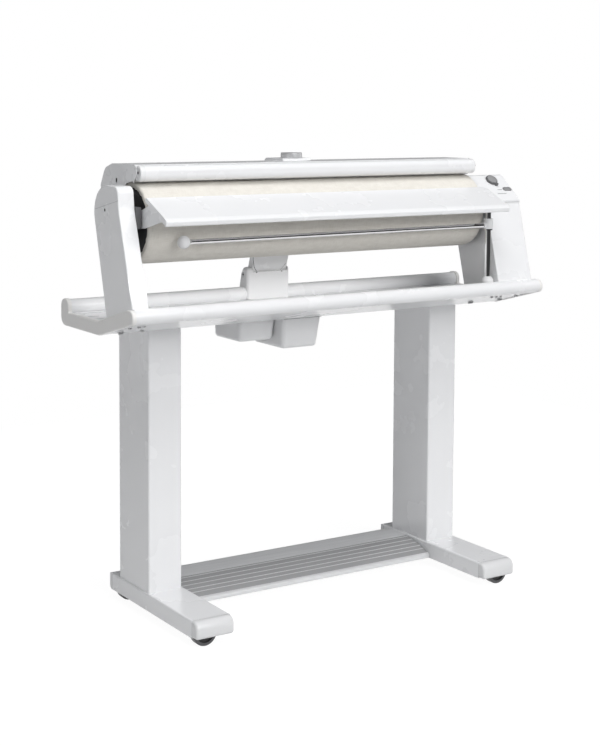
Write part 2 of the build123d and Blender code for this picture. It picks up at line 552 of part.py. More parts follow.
# ---------------------------------------------------------------- hood and lift arm

def hood_outline(inset):
    """Side view of the hood, open below, or of the space inside its skin."""
    rear_foot = (ROLLER_Y + 122.8 + inset, HOOD_FOOT - 19 - 4 * inset)
    return [(HOOD_FRONT + inset, HOOD_FOOT - 4 * inset), (HOOD_FRONT + inset, HOOD_TOP - inset, 5 - inset),
            (SCREW_Y + 9.0, HOOD_TOP - inset, 22 - inset),
            (ROLLER_Y + 100.3 - 0.7 * inset, HOOD_TOP - 9.5 - 0.7 * inset, 20 - inset), rear_foot]


def make_hood():
    """Sheet hood over the shoe and its two end plates, which carry the guard's pins."""
    cover = along_x(hood_outline(0), HOOD_X0, HOOD_X1) - along_x(hood_outline(HOOD_SKIN), HOOD_X0, HOOD_X1)
    cover -= rod_z(SCREW_R + 1.5, HOOD_TOP - 10, HOOD_TOP + 1, MID_X, SCREW_Y)
    parts["hood_cover"] = largest(cover)

    _, front_top, rear_top, rear_knee, rear_foot = hood_outline(0)
    end = [front_top, rear_top, rear_knee, (rear_foot[0] + 2, rear_foot[1] - 3.4, 8),
           (ROLLER_Y + 66.8, HOOD_FOOT - 28, 10), (ROLLER_Y + 30.8, HOOD_FOOT - 20, 20),
           (ROLLER_Y + 6.8, HOOD_FOOT - 6, 20), (HOOD_FRONT, HOOD_FOOT),
           (HOOD_FRONT - 8, HOOD_FOOT + 6, 2), (HOOD_FRONT - 9, HOOD_TOP - 2.5, 5)]
    plates = []
    for x0, x1 in ((HOOD_X0 - HOOD_PLATE, HOOD_X0), (HOOD_X1, HOOD_X1 + HOOD_PLATE)):
        plate = along_x(end, x0, x1) - rod_x(GUARD_PIN_R + 0.05, x0 - 1, x1 + 1, *GUARD_PIN)
        keyhole = box(x0 - 1, x1 + 1, SCREW_Y - 12.3, SCREW_Y - 8.3, HOOD_TOP - 36, HOOD_TOP - 27)
        plates.append(plate - keyhole)
    parts["hood_ends"] = group(plates)


def make_lift_arm():
    """Leaning box-section arm from the pivot to the hood, and the bridge clamped over the hood's top."""
    y, z = PIVOT
    low, top, wall = z - 7.5, HOOD_TOP - 15.5, 3.5
    bar = along_x([(lift_front(low), low), (lift_front(top), top), (lift_front(top) + LIFT_T, top),
                   (lift_front(low) + LIFT_T, low)], LIFT_X0, LIFT_X1)
    low_in, top_in = low - 4, top - 18
    back = LIFT_T - wall
    bar -= along_x([(lift_front(low_in) + wall, low_in), (lift_front(top_in) + wall, top_in),
                    (lift_front(top_in) + back, top_in), (lift_front(low_in) + back, low_in)],
                   LIFT_X0 + 4, LIFT_X1 - 4)
    head = box(LIFT_X0, LIFT_X1, SCREW_Y - 19, SCREW_Y + 29, top, HOOD_TOP)
    arm = bar + rod_x(PIVOT_R + 7, LIFT_X0, LIFT_X1, y, z)
    arm += head & along_x(hood_outline(HOOD_SKIN), LIFT_X0, LIFT_X1)
    arm -= rod_x(PIVOT_R + RUN, LIFT_X0 - 1, LIFT_X1 + 1, y, z)
    arm -= rod_z(SCREW_R + RUN, top - 20, HOOD_TOP + 1, MID_X, SCREW_Y)
    arm -= rod_x(ROLLER_R + SHOE_GAP + SHOE_T + 2.6, LIFT_X0 - 1, LIFT_X1 + 1, ROLLER_Y, ROLLER_Z)
    parts["lift_arm"] = largest(arm)

    x0, x1 = MID_X - 34, MID_X + 34
    rise = 4.5
    bridge = along_x([(SCREW_Y - 21, HOOD_TOP - 3.5), (SCREW_Y - 21, HOOD_TOP + rise, 2.5),
                      (SCREW_Y + 51, HOOD_TOP + rise, 14), (SCREW_Y + 57, HOOD_TOP - 33.5, 6),
                      (SCREW_Y + 45, HOOD_TOP - 33.5)], x0, x1)
    bridge -= along_x(hood_outline(0), x0, x1)
    bridge = largest(bridge)
    parts["lift_bridge"] = bridge - rod_z(SCREW_R + RUN, HOOD_TOP - 10, HOOD_TOP + 10, MID_X, SCREW_Y)

    knob_z, knob_h = HOOD_TOP + rise + 0.6, 10.4
    knob = rod_z(22.0, knob_z, knob_z + knob_h, MID_X, SCREW_Y)
    knob = chamfer(knob.faces().sort_by(Axis.Z)[-1].edges(), 0.8)
    parts["pressure_knob"] = knob + rod_z(SCREW_R, HOOD_TOP - 22, knob_z + 1, MID_X, SCREW_Y)


# ---------------------------------------------------------------- finger guard

def guard_outline(inset):
    back, front = GUARD_BACK - inset, GUARD_BACK - GUARD_DEPTH + inset
    low, top = GUARD_TOP - GUARD_H + inset, GUARD_TOP - inset
    return [(back, low, 9 - inset), (back, top, 7 - inset),
            (front, top, 11.5 - inset), (front, low, 11.5 - inset)]


def make_guard():
    """Hollow bar along the hood's front, with end caps that carry the pins."""
    cap_length = 11.0
    x0, x1 = HOOD_X0 + 0.4, HOOD_X1 - 0.4
    bar = along_x(guard_outline(0), x0 + cap_length, x1 - cap_length)
    parts["guard_bar"] = bar - along_x(guard_outline(GUARD_WALL), x0, x1)
    left = along_x(guard_outline(0), x0, x0 + cap_length)
    left = fillet(end_faces(left)[0].edges(), 2.5) + rod_x(GUARD_PIN_R, x0 - 2.3, x0 + 1, *GUARD_PIN)
    right = along_x(guard_outline(0), x1 - cap_length, x1)
    right = fillet(end_faces(right)[1].edges(), 2.5) + rod_x(GUARD_PIN_R, x1 - 1, x1 + 2.3, *GUARD_PIN)
    parts["guard_caps"] = group([left, right])


# ---------------------------------------------------------------- feed table

TABLE_LENGTH = math.dist(TABLE_BACK, TABLE_FRONT)


def on_table(along, under):
    """Depth and height of a point down the table's slope and under its surface."""
    step_y = (TABLE_FRONT[0] - TABLE_BACK[0]) / TABLE_LENGTH
    step_z = (TABLE_FRONT[1] - TABLE_BACK[1]) / TABLE_LENGTH
    return TABLE_BACK[0] + step_y * along - step_z * under, TABLE_BACK[1] + step_z * along + step_y * under


def make_table():
    """Sloping sheet with a rolled front lip and side flanges, on two cheeks that turn on the arms."""
    front_y, front_z = TABLE_FRONT
    length, sheet = TABLE_LENGTH, TABLE_SHEET
    table = along_x([
        (*on_table(0, 0), 1.5), (*on_table(length - 4, 0), 6), (front_y - 3.2, front_z - 4, 4),
        (front_y - 1, front_z - 13, 3), (front_y + 5, front_z - 13, 1.5), (front_y + 5, front_z - 9),
        on_table(length - 6, sheet), on_table(sheet, sheet), on_table(sheet, 7), on_table(0, 7)],
        TABLE_X0, TABLE_X1)
    flange = [on_table(0, 0.5), (*on_table(length - 4, 0.5), 2), (front_y + 1.5, front_z - 11.5, 2),
              on_table(length - 14, 11), (*on_table(0, 8), 3)]
    for x0, x1 in ((TABLE_X0, TABLE_X0 + sheet), (TABLE_X1 - sheet, TABLE_X1)):
        table += along_x(flange, x0, x1)
    parts["feed_table"] = table

    y, z = TABLE_PIVOT
    hinge_end = [(y + 3, z - 15, 9), (y + 14, z - 2, 9), (y + 6, z + 15, 6), (y - 36, z + 29, 2)]
    under_sheet = [on_table(10, sheet), on_table(68, sheet)]
    wide_cheek = under_sheet + [(y - 92, z + 4, 3), (y - 22, z - 13, 4)] + hinge_end
    post_cheek = under_sheet[:1] + [on_table(46, sheet), (y - 62, z + 20, 3), (y - 34, z + 13, 6),
                                    (y - 17, z - 13, 8)] + hinge_end
    lug = [(LUG_FRONT, z - 15, 4), (y + 12, z - 15, 6), (y + 12, z + 26, 6), (LUG_FRONT, z + 26, 4)]
    cheeks, pins = [], []
    for cheek, edge, wall, arm, side in ((wide_cheek, TABLE_X0 + sheet, 2.4, LEFT_X1, -1),
                                         (post_cheek, TABLE_X1 - sheet, -1.9, RIGHT_X0, 1)):
        plate = along_x(cheek, min(edge, edge + wall), max(edge, edge + wall))
        cheeks.append(plate - rod_x(TABLE_PIN_R + RUN, edge - 4, edge + 4, y, z))
        lug_end = edge + side * 2.4
        pins.append(along_x(lug, min(arm, lug_end), max(arm, lug_end))
                    + rod_x(TABLE_PIN_R, lug_end, edge + wall, y, z))
    parts["table_brackets"] = group(cheeks)
    parts["table_pivots"] = group(pins)


# ---------------------------------------------------------------- hanging rail

def make_rail():
    """Post beside the control arm, and the rail on a collar that slides and swings on it."""
    base = tray_z(POST_Y)
    seat = base + 3
    parts["rail_post"] = rod_z(POST_R, seat, POST_TOP, POST_X, POST_Y)
    dome = Pos(POST_X, POST_Y, base + 8) * scale(Sphere(13.0), by=(1, 1, 0.92))
    dome += rod_z(13.0, base - 6, base + 8, POST_X, POST_Y)
    near, far = POST_Y - 20, POST_Y + 20
    above = [(near, tray_z(near)), (far, tray_z(far)), (far, base + 60), (near, base + 60)]
    dome &= along_x(above, POST_X - 20, POST_X + 20)
    parts["post_foot"] = dome - rod_z(POST_R, seat, base + 60, POST_X, POST_Y)

    low, high = POST_TOP - 7.5, POST_TOP - 0.5
    bracket = rod_z(10.5, low, high, POST_X, POST_Y)
    bracket += box(POST_X + 2, RIGHT_X0, POST_Y - 5, POST_Y + 23, low, high)
    bracket += box(RIGHT_X0 - 2, RIGHT_X0, POST_Y + 15, LUG_FRONT - 1, low, high)
    parts["post_bracket"] = bracket - rod_z(POST_R, low - 1, high + 1, POST_X, POST_Y)

    collar = rod_z(COLLAR_R, COLLAR_LOW, COLLAR_HIGH, POST_X, POST_Y)
    collar += rod_z(COLLAR_R + 2.1, COLLAR_LOW - 0.5, COLLAR_LOW + 2, POST_X, POST_Y)
    parts["rail_collar"] = collar - rod_z(POST_R + RUN, COLLAR_LOW - 2, COLLAR_HIGH + 1, POST_X, POST_Y)

    near_x, far_x = POST_X - COLLAR_R - 0.9, RAIL_BALL_X + RAIL_BALL_R - 2
    drop = math.degrees(math.atan2(RAIL_NEAR_Z - RAIL_FAR_Z, near_x - far_x))
    length = math.dist((near_x, RAIL_NEAR_Z), (far_x, RAIL_FAR_Z))
    middle = Pos((near_x + far_x) / 2, POST_Y, (RAIL_NEAR_Z + RAIL_FAR_Z) / 2)
    bar = middle * Rot(0, 90 - drop, 0) * Cylinder(RAIL_BAR_R, length)
    socket = middle * Rot(0, 90 - drop, 0) * Cylinder(RAIL_BAR_R + 0.25, length)
    clamp = rod_z(COLLAR_R + 2.2, COLLAR_LOW + 2.2, COLLAR_HIGH + 0.5, POST_X, POST_Y)
    clamp += rod_x(RAIL_BAR_R + 1.2, near_x - 6, near_x, POST_Y, RAIL_NEAR_Z)
    clamp -= rod_z(COLLAR_R + RUN, COLLAR_LOW, COLLAR_HIGH + 1, POST_X, POST_Y)
    parts["rail_clamp"] = clamp - socket
    parts["rail_bar"] = bar
    parts["rail_ball"] = Pos(RAIL_BALL_X, POST_Y, RAIL_FAR_Z) * Rot(0, 0, 90) * Sphere(RAIL_BALL_R) - socket


make_feet()
make_wheels()
make_columns()
make_foot_rest()
make_tray()
make_pivot()
make_casings()
make_arms()
make_controls()
make_roller()
make_shoe()
make_hood()
make_lift_arm()
make_guard()
make_table()
make_rail()
os.makedirs("parts", exist_ok=True)
for name, shape in parts.items():
    export_step(shape, f"parts/{name}.step")
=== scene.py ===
import math

import bpy
from mathutils import Matrix, Vector


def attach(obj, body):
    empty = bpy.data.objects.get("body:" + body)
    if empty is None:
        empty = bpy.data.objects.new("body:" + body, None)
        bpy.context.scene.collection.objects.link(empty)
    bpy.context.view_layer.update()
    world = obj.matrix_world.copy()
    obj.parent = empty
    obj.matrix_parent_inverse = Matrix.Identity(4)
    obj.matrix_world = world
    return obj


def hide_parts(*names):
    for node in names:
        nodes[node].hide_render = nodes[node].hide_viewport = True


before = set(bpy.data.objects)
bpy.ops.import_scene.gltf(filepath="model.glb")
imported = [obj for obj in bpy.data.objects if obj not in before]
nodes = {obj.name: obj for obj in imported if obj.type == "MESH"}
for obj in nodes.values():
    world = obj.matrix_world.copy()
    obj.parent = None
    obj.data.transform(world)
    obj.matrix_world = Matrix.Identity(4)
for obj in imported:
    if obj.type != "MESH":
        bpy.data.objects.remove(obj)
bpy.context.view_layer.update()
scene = bpy.context.scene
scene.view_settings.view_transform = "Standard"


# ---------------------------------------------------------------- camera
# The photographer stands about three metres off, in front of the free end, with the camera level with
# the roller. The lens was shifted, so the picture's optical centre lies high and to the left.

photo_width, photo_height = 600, 746
focal_px = 1489.5
optical_centre = (259.55, 223.59)
eye = Vector((-1.6991, -2.5205, 1.0020))
yaw, pitch, roll = math.radians(31.76), math.radians(4.434), math.radians(0.164)
forward = Vector((math.sin(yaw) * math.cos(pitch), math.cos(yaw) * math.cos(pitch), -math.sin(pitch)))
level = Vector((math.cos(yaw), -math.sin(yaw), 0))
upright = level.cross(forward)
right = level * math.cos(roll) + upright * math.sin(roll)
top = upright * math.cos(roll) - level * math.sin(roll)

camera = bpy.data.objects.new("camera", bpy.data.cameras.new("camera"))
camera.data.sensor_width = 36
camera.data.lens = focal_px * camera.data.sensor_width / photo_height
camera.data.shift_x = (photo_width / 2 - optical_centre[0]) / photo_height
camera.data.shift_y = (optical_centre[1] - photo_height / 2) / photo_height
camera.matrix_world = Matrix.Translation(eye) @ Matrix((right, top, -forward)).transposed().to_4x4()
scene.collection.objects.link(camera)
scene.camera = camera


# ---------------------------------------------------------------- studio
# White paper under and behind the ironer, in a dim room. A large softbox stands high in front, with one
# above, a small one lower down, a thin strip hidden under the feed table, and a lit card on the left.

def add_node(tree, kind, **settings):
    """A shader node; settings named as sockets set the socket, and the rest set the node itself."""
    node = tree.nodes.new(kind)
    for key, value in settings.items():
        name = key.replace("_", " ")
        if name in node.inputs:
            node.inputs[name].default_value = value
        else:
            setattr(node, key, value)
    return node


def new_material(name):
    """A material with its node tree and its Principled shader."""
    material = bpy.data.materials.new(name)
    material.use_nodes = True
    return material, material.node_tree, material.node_tree.nodes["Principled BSDF"]


bpy.ops.mesh.primitive_plane_add(size=3.6)
floor = bpy.context.object
floor.name = "paper_floor"
paper, tree, shader = new_material("white_paper")
shader.inputs["Base Color"].default_value = (0.72, 0.72, 0.72, 1)
shader.inputs["Roughness"].default_value = 0.9
shader.inputs["Specular IOR Level"].default_value = 0.1
path = add_node(tree, "ShaderNodeLightPath")
seen = add_node(tree, "ShaderNodeMath", operation="MAXIMUM")
share = add_node(tree, "ShaderNodeMath", operation="MULTIPLY")
share.inputs[1].default_value = 0.85
glow = add_node(tree, "ShaderNodeEmission", Strength=1.12)
blend = add_node(tree, "ShaderNodeMixShader")
tree.links.new(path.outputs["Is Camera Ray"], seen.inputs[0])
tree.links.new(path.outputs["Is Glossy Ray"], seen.inputs[1])
tree.links.new(seen.outputs[0], share.inputs[0])
tree.links.new(share.outputs[0], blend.inputs["Fac"])
tree.links.new(shader.outputs[0], blend.inputs[1])
tree.links.new(glow.outputs[0], blend.inputs[2])
tree.links.new(blend.outputs[0], tree.nodes["Material Output"].inputs["Surface"])
floor.data.materials.append(paper)

world = bpy.data.worlds.new("studio_air")
scene.world = world
world.use_nodes = True
tree = world.node_tree
air = tree.nodes["Background"]
air.inputs["Color"].default_value = (0.95, 0.97, 1.0, 1)
air.inputs["Strength"].default_value = 0.24
where = add_node(tree, "ShaderNodeTexCoord")
toward = add_node(tree, "ShaderNodeVectorMath", operation="DOT_PRODUCT")
toward.inputs[1].default_value = (-0.25, 0.97, 0.0)
sideways = add_node(tree, "ShaderNodeMapRange", From_Min=-0.1, From_Max=0.6)
split = add_node(tree, "ShaderNodeSeparateXYZ")
upward = add_node(tree, "ShaderNodeMapRange", From_Min=-0.05, From_Max=0.01, To_Min=0.95, To_Max=0.05)
edge = add_node(tree, "ShaderNodeMath", operation="MULTIPLY_ADD")
edge.inputs[2].default_value = 0.05
mirrored = add_node(tree, "ShaderNodeBackground")
mirrored.inputs["Color"].default_value = (1, 1, 1, 1)
white = add_node(tree, "ShaderNodeBackground", Strength=1.0)
white.inputs["Color"].default_value = (1, 1, 1, 1)
path = add_node(tree, "ShaderNodeLightPath")
gloss_blend = add_node(tree, "ShaderNodeMixShader")
sight_blend = add_node(tree, "ShaderNodeMixShader")
tree.links.new(where.outputs["Generated"], toward.inputs[0])
tree.links.new(where.outputs["Generated"], split.inputs[0])
tree.links.new(toward.outputs["Value"], sideways.inputs["Value"])
tree.links.new(split.outputs["Z"], upward.inputs["Value"])
tree.links.new(sideways.outputs["Result"], edge.inputs[0])
tree.links.new(upward.outputs["Result"], edge.inputs[1])
tree.links.new(edge.outputs[0], mirrored.inputs["Strength"])
tree.links.new(path.outputs["Is Glossy Ray"], gloss_blend.inputs["Fac"])
tree.links.new(air.outputs[0], gloss_blend.inputs[1])
tree.links.new(mirrored.outputs[0], gloss_blend.inputs[2])
tree.links.new(path.outputs["Is Camera Ray"], sight_blend.inputs["Fac"])
tree.links.new(gloss_blend.outputs[0], sight_blend.inputs[1])
tree.links.new(white.outputs[0], sight_blend.inputs[2])
tree.links.new(sight_blend.outputs[0], tree.nodes["World Output"].inputs["Surface"])

for name, place, aim, size, tall, spread, power in (
        ("high_softbox", (0.7, -5.0, 3.1), (0, 0, 0.6), 3.2, 3.2, 180, 134.0),
        ("low_softbox", (0.3, -3.6, 1.75), (0, 0, 0.4), 0.9, 0.9, 180, 15.0),
        ("top_softbox", (-0.8, -1.6, 4.6), (-0.1, 0, 0.6), 2.5, 2.5, 180, 110.0),
        ("tray_strip", (-0.12, -0.155, 0.7), (-0.12, 0.12, 0.575), 0.72, 0.02, 54, 0.15),
        ("left_card", (-1.55, -0.4, 0.85), (-0.48, 0, 0.6), 0.8, 0.8, 180, 0.9)):
    lamp = bpy.data.lights.new(name, "AREA")
    lamp.shape = "RECTANGLE"
    lamp.size, lamp.size_y = size, tall
    lamp.spread = math.radians(spread)
    lamp.energy = power
    lamp_object = bpy.data.objects.new(name, lamp)
    lamp_object.location = place
    lamp_object.visible_glossy = name == "high_softbox"
    lamp_object.visible_camera = False
    lamp_object.rotation_euler = (Vector(aim) - Vector(place)).to_track_quat("-Z", "Y").to_euler()
    scene.collection.objects.link(lamp_object)


# ---------------------------------------------------------------- feet and columns
# Folded sheet steel, powder-coated gloss white like most of the machine. The feet are channels, and the
# columns are box sections standing on them. The coat has a very fine orange peel.

def new_group(name, inputs, outputs):
    """A shader node group with its named sockets, its input node and its output node."""
    made = bpy.data.node_groups.new(name, "ShaderNodeTree")
    for title, kind, value in inputs:
        socket = made.interface.new_socket(title, in_out="INPUT", socket_type=kind)
        socket.default_value = value
    for title, kind in outputs:
        made.interface.new_socket(title, in_out="OUTPUT", socket_type=kind)
    return made, made.nodes.new("NodeGroupInput"), made.nodes.new("NodeGroupOutput")


def calculate(tree, operation, first, second):
    """The output of a Math node on two sockets or plain numbers."""
    node = add_node(tree, "ShaderNodeMath", operation=operation)
    for socket, value in zip(node.inputs, (first, second)):
        if isinstance(value, (int, float)):
            socket.default_value = value
        else:
            tree.links.new(value, socket)
    return node.outputs[0]


surface_tone, given, result = new_group(
    "surface_tone",
    [("Color", "NodeSocketColor", (0.8, 0.8, 0.8, 1)), ("Cloud Scale", "NodeSocketFloat", 8.0),
     ("Amount", "NodeSocketFloat", 0.03), ("Roughness", "NodeSocketFloat", 0.3),
     ("Roughness Spread", "NodeSocketFloat", 0.06), ("Grain Scale", "NodeSocketFloat", 600.0)],
    [("Color", "NodeSocketColor"), ("Roughness", "NodeSocketFloat"), ("Height", "NodeSocketFloat")])
where = add_node(surface_tone, "ShaderNodeTexCoord")
cloud = add_node(surface_tone, "ShaderNodeTexNoise", Detail=4.0)
grain = add_node(surface_tone, "ShaderNodeTexNoise", Detail=2.0)
tinted = add_node(surface_tone, "ShaderNodeVectorMath", operation="SCALE")
surface_tone.links.new(where.outputs["Object"], cloud.inputs["Vector"])
surface_tone.links.new(where.outputs["Object"], grain.inputs["Vector"])
surface_tone.links.new(given.outputs["Cloud Scale"], cloud.inputs["Scale"])
surface_tone.links.new(given.outputs["Grain Scale"], grain.inputs["Scale"])
uneven = calculate(surface_tone, "SUBTRACT", cloud.outputs["Fac"], 0.5)
shade = calculate(surface_tone, "MULTIPLY", uneven, given.outputs["Amount"])
surface_tone.links.new(given.outputs["Color"], tinted.inputs[0])
surface_tone.links.new(calculate(surface_tone, "ADD", shade, 1.0), tinted.inputs["Scale"])
spread = calculate(surface_tone, "MULTIPLY", uneven, given.outputs["Roughness Spread"])
surface_tone.links.new(tinted.outputs[0], result.inputs["Color"])
surface_tone.links.new(calculate(surface_tone, "ADD", spread, given.outputs["Roughness"]),
                       result.inputs["Roughness"])
surface_tone.links.new(grain.outputs["Fac"], result.inputs["Height"])


def toned_material(name, color, roughness, grain=600.0, relief=0.02, amount=0.03, metallic=0.0, coat=0.0):
    """A finish with slightly uneven tone and gloss and a fine relief, given in millimetres."""
    material, tree, shader = new_material(name)
    toned = add_node(tree, "ShaderNodeGroup", node_tree=surface_tone)
    toned.inputs["Color"].default_value = (*color, 1)
    toned.inputs["Roughness"].default_value = roughness
    toned.inputs["Amount"].default_value = amount
    toned.inputs["Grain Scale"].default_value = grain
    bump = add_node(tree, "ShaderNodeBump", Distance=relief / 1000, Strength=1.0)
    tree.links.new(toned.outputs["Color"], shader.inputs["Base Color"])
    tree.links.new(toned.outputs["Roughness"], shader.inputs["Roughness"])
    tree.links.new(toned.outputs["Height"], bump.inputs["Height"])
    tree.links.new(bump.outputs["Normal"], shader.inputs["Normal"])
    shader.inputs["Metallic"].default_value = metallic
    shader.inputs["Coat Weight"].default_value = coat
    shader.inputs["Coat Roughness"].default_value = 0.06
    return material


def finish_nodes(material, *names):
    """Puts a finish on CAD nodes."""
    for name in names:
        piece = nodes[name]
        piece.data.materials.clear()
        piece.data.materials.append(material)


powder_coat = toned_material("powder_coat", (0.835, 0.838, 0.848), 0.27, coat=0.2)
finish_nodes(powder_coat, "foot_left", "foot_right", "column_left", "column_right")


# ---------------------------------------------------------------- foot caps
# Gloss white mouldings pushed into the ends of the feet. A fine dark joint shows where they meet the steel.

def add_piece(name, shape, material, body, replaces=()):
    """A mesh piece from points in millimetres and faces, with smooth curved faces, riding on a body."""
    points, faces = shape
    mesh = bpy.data.meshes.new(name)
    mesh.from_pydata([Vector(point) / 1000 for point in points], [], faces)
    mesh.shade_smooth()
    mesh.set_sharp_from_angle(angle=math.radians(32))
    mesh.materials.append(material)
    piece = bpy.data.objects.new(name, mesh)
    scene.collection.objects.link(piece)
    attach(piece, body)
    if replaces:
        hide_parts(*replaces)
    return piece


def joined(shapes):
    """Several shapes as one."""
    points, faces = [], []
    for more_points, more_faces in shapes:
        start = len(points)
        points += more_points
        faces += [tuple(start + index for index in face) for face in more_faces]
    return points, faces


def band(line, side, width):
    """A flat strip along a line of points, widened to both sides of it."""
    half = Vector(side).normalized() * (width / 2)
    points = []
    for point in line:
        points += [Vector(point) - half, Vector(point) + half]
    faces = [(2 * i, 2 * i + 1, 2 * i + 3, 2 * i + 2) for i in range(len(line) - 1)]
    return points, faces


def ring_walls(levels, count):
    """The faces between rings of equally many points that follow each other."""
    faces = []
    for level in range(levels - 1):
        for step in range(count):
            here, beside = level * count + step, level * count + (step + 1) % count
            faces.append((here, beside, beside + count, here + count))
    return faces


foot_x, foot_half, foot_low, foot_high = 343.8, 41.0, 20.0, 53.3
foot_front, front_joint, rear_joint = -181.0, -163.5, 171.0
channel_r, toe_low_r, toe_high_r, toe_side_r = 3.5, 7.0, 15.0, 6.0


def over_foot(x, y, proud):
    """A line over a foot's channel section at depth y."""
    half, high = foot_half + proud, foot_high + proud
    line = [(x - half, y, foot_low)]
    for way, turns in ((-1, (180, 150, 120, 90)), (1, (90, 60, 30, 0))):
        for turn in turns:
            angle = math.radians(turn)
            line.append((x + way * (half - channel_r) + channel_r * math.cos(angle), y,
                         high - channel_r + channel_r * math.sin(angle)))
    return line + [(x + half, y, foot_low)]


def cap_profile(inset):
    """Side view of a front cap, drawn in evenly by an inset, as points of depth and height."""
    front, low, high = foot_front + inset, foot_low + inset, foot_high - inset
    profile = [(front_joint, low)]
    for radius, corner_z, way, turns in ((toe_low_r - inset, low, 1, range(0, 91, 15)),
                                         (toe_high_r - inset, high, -1, range(90, -1, -10))):
        for turn in turns:
            angle = math.radians(turn)
            profile.append((front + radius * (1 - math.sin(angle)),
                            corner_z + way * radius * (1 - math.cos(angle))))
    return profile + [(front_joint, high)]


def front_cap(x):
    """A cap whose outline rounds over at both sides of the foot."""
    turns = [math.radians(turn) for turn in (0, 20, 40, 60, 75, 90)]
    rings = [(x - foot_half + toe_side_r * (1 - math.cos(turn)), toe_side_r * (1 - math.sin(turn)))
             for turn in turns]
    rings += [(2 * x - ring_x, inset) for ring_x, inset in reversed(rings)]
    points = [(ring_x, y, z) for ring_x, inset in rings for y, z in cap_profile(inset)]
    count = len(cap_profile(0))
    ends = [tuple(range(count)), tuple(reversed(range(len(points) - count, len(points))))]
    return points, ends + [tuple(reversed(face)) for face in ring_walls(len(rings), count)]


moulded_white = toned_material("moulded_white", (0.82, 0.822, 0.83), 0.26, grain=900.0)
# Soft grey for fine joints, and for a painted shadow line under the control cover's lip.
joint_and_shadow_soft_grey = toned_material("joint_and_shadow_soft_grey", (0.4, 0.4, 0.41), 0.6)
finish_nodes(moulded_white, "foot_rear_caps")
# The front caps take a greyer white than the other mouldings, as painted shade near the floor.
cap_white_painted_shade = toned_material("cap_white_painted_shade", (0.7, 0.703, 0.71), 0.3, coat=0.15)
add_piece("foot_nose_caps", joined([front_cap(-foot_x), front_cap(foot_x)]), cap_white_painted_shade, "frame",
          ["foot_front_caps"])
joints = [band(over_foot(side * foot_x, depth, 0.12), (0, 1, 0), 0.9)
          for side in (-1, 1) for depth in (front_joint, rear_joint)]
add_piece("foot_cap_joints", joined(joints), joint_and_shadow_soft_grey, "frame")


# ---------------------------------------------------------------- wheels
# Fixed twin-material wheels: a dark grey tyre on a black plastic disc, on zinc-plated stub axles.
# The tyre's lighter ring is partly a painted rim highlight, and the near-black disc partly painted shade.

disc_r, wheel_x, axle_z = 18.6, 355.5, 25.0
wheel_tones_and_painted_light, tree, shader = new_material("wheel_tyre_disc_and_painted_light")
where = add_node(tree, "ShaderNodeTexCoord")
split = add_node(tree, "ShaderNodeSeparateXYZ")
tree.links.new(where.outputs["Object"], split.inputs[0])
across = calculate(tree, "SUBTRACT", calculate(tree, "ABSOLUTE", split.outputs["X"], 0.0), wheel_x / 1000)
height = calculate(tree, "SUBTRACT", split.outputs["Z"], axle_z / 1000)
square = calculate(tree, "ADD", calculate(tree, "MULTIPLY", across, across),
                   calculate(tree, "MULTIPLY", height, height))
# Outside the disc radius the lighter tyre tone is partly a painted rim highlight; inside, the near black is
# partly painted shade.
on_tyre_and_rim_highlight = calculate(tree, "GREATER_THAN", square, (disc_r / 1000) ** 2)
tyre_tones_and_painted_light = add_node(tree, "ShaderNodeMix", data_type="RGBA")
for socket in tyre_tones_and_painted_light.inputs:
    if socket.type == "RGBA":
        socket.default_value = (0.008, 0.008, 0.009, 1) if socket.name == "A" else (0.085, 0.085, 0.09, 1)
grain = add_node(tree, "ShaderNodeTexNoise", Scale=900.0)
bump = add_node(tree, "ShaderNodeBump", Distance=0.00004, Strength=1.0)
tree.links.new(on_tyre_and_rim_highlight, tyre_tones_and_painted_light.inputs["Factor"])
tree.links.new(tyre_tones_and_painted_light.outputs[2], shader.inputs["Base Color"])
tree.links.new(where.outputs["Object"], grain.inputs["Vector"])
tree.links.new(grain.outputs["Fac"], bump.inputs["Height"])
tree.links.new(bump.outputs["Normal"], shader.inputs["Normal"])
shader.inputs["Roughness"].default_value = 0.42
finish_nodes(wheel_tones_and_painted_light, "wheel_front_left", "wheel_front_right", "wheel_rear_left", "wheel_rear_right")
zinc_plate = toned_material("zinc_plate", (0.5, 0.5, 0.51), 0.35, metallic=1.0, amount=0.15)
finish_nodes(zinc_plate, "wheel_axles", "wheel_mounts", "foot_rest_rod", "pivot_pin")


# ---------------------------------------------------------------- foot rest
# An extruded aluminium tread with its ribs left bare and ribbed rubber strips pressed between them.
# It hinges on a steel rod near the floor.

brushed_lines, given, result = new_group(
    "brushed_lines",
    [("Along X", "NodeSocketFloat", 8.0), ("Across", "NodeSocketFloat", 900.0)],
    [("Height", "NodeSocketFloat")])
where = add_node(brushed_lines, "ShaderNodeTexCoord")
stretch = add_node(brushed_lines, "ShaderNodeCombineXYZ")
scaled = add_node(brushed_lines, "ShaderNodeVectorMath", operation="MULTIPLY")
lines = add_node(brushed_lines, "ShaderNodeTexNoise", Scale=1.0, Detail=3.0)
brushed_lines.links.new(given.outputs["Along X"], stretch.inputs["X"])
brushed_lines.links.new(given.outputs["Across"], stretch.inputs["Y"])
brushed_lines.links.new(given.outputs["Across"], stretch.inputs["Z"])
brushed_lines.links.new(where.outputs["Object"], scaled.inputs[0])
brushed_lines.links.new(stretch.outputs[0], scaled.inputs[1])
brushed_lines.links.new(scaled.outputs[0], lines.inputs["Vector"])
brushed_lines.links.new(lines.outputs["Fac"], result.inputs["Height"])


brush_depth = 0.000006


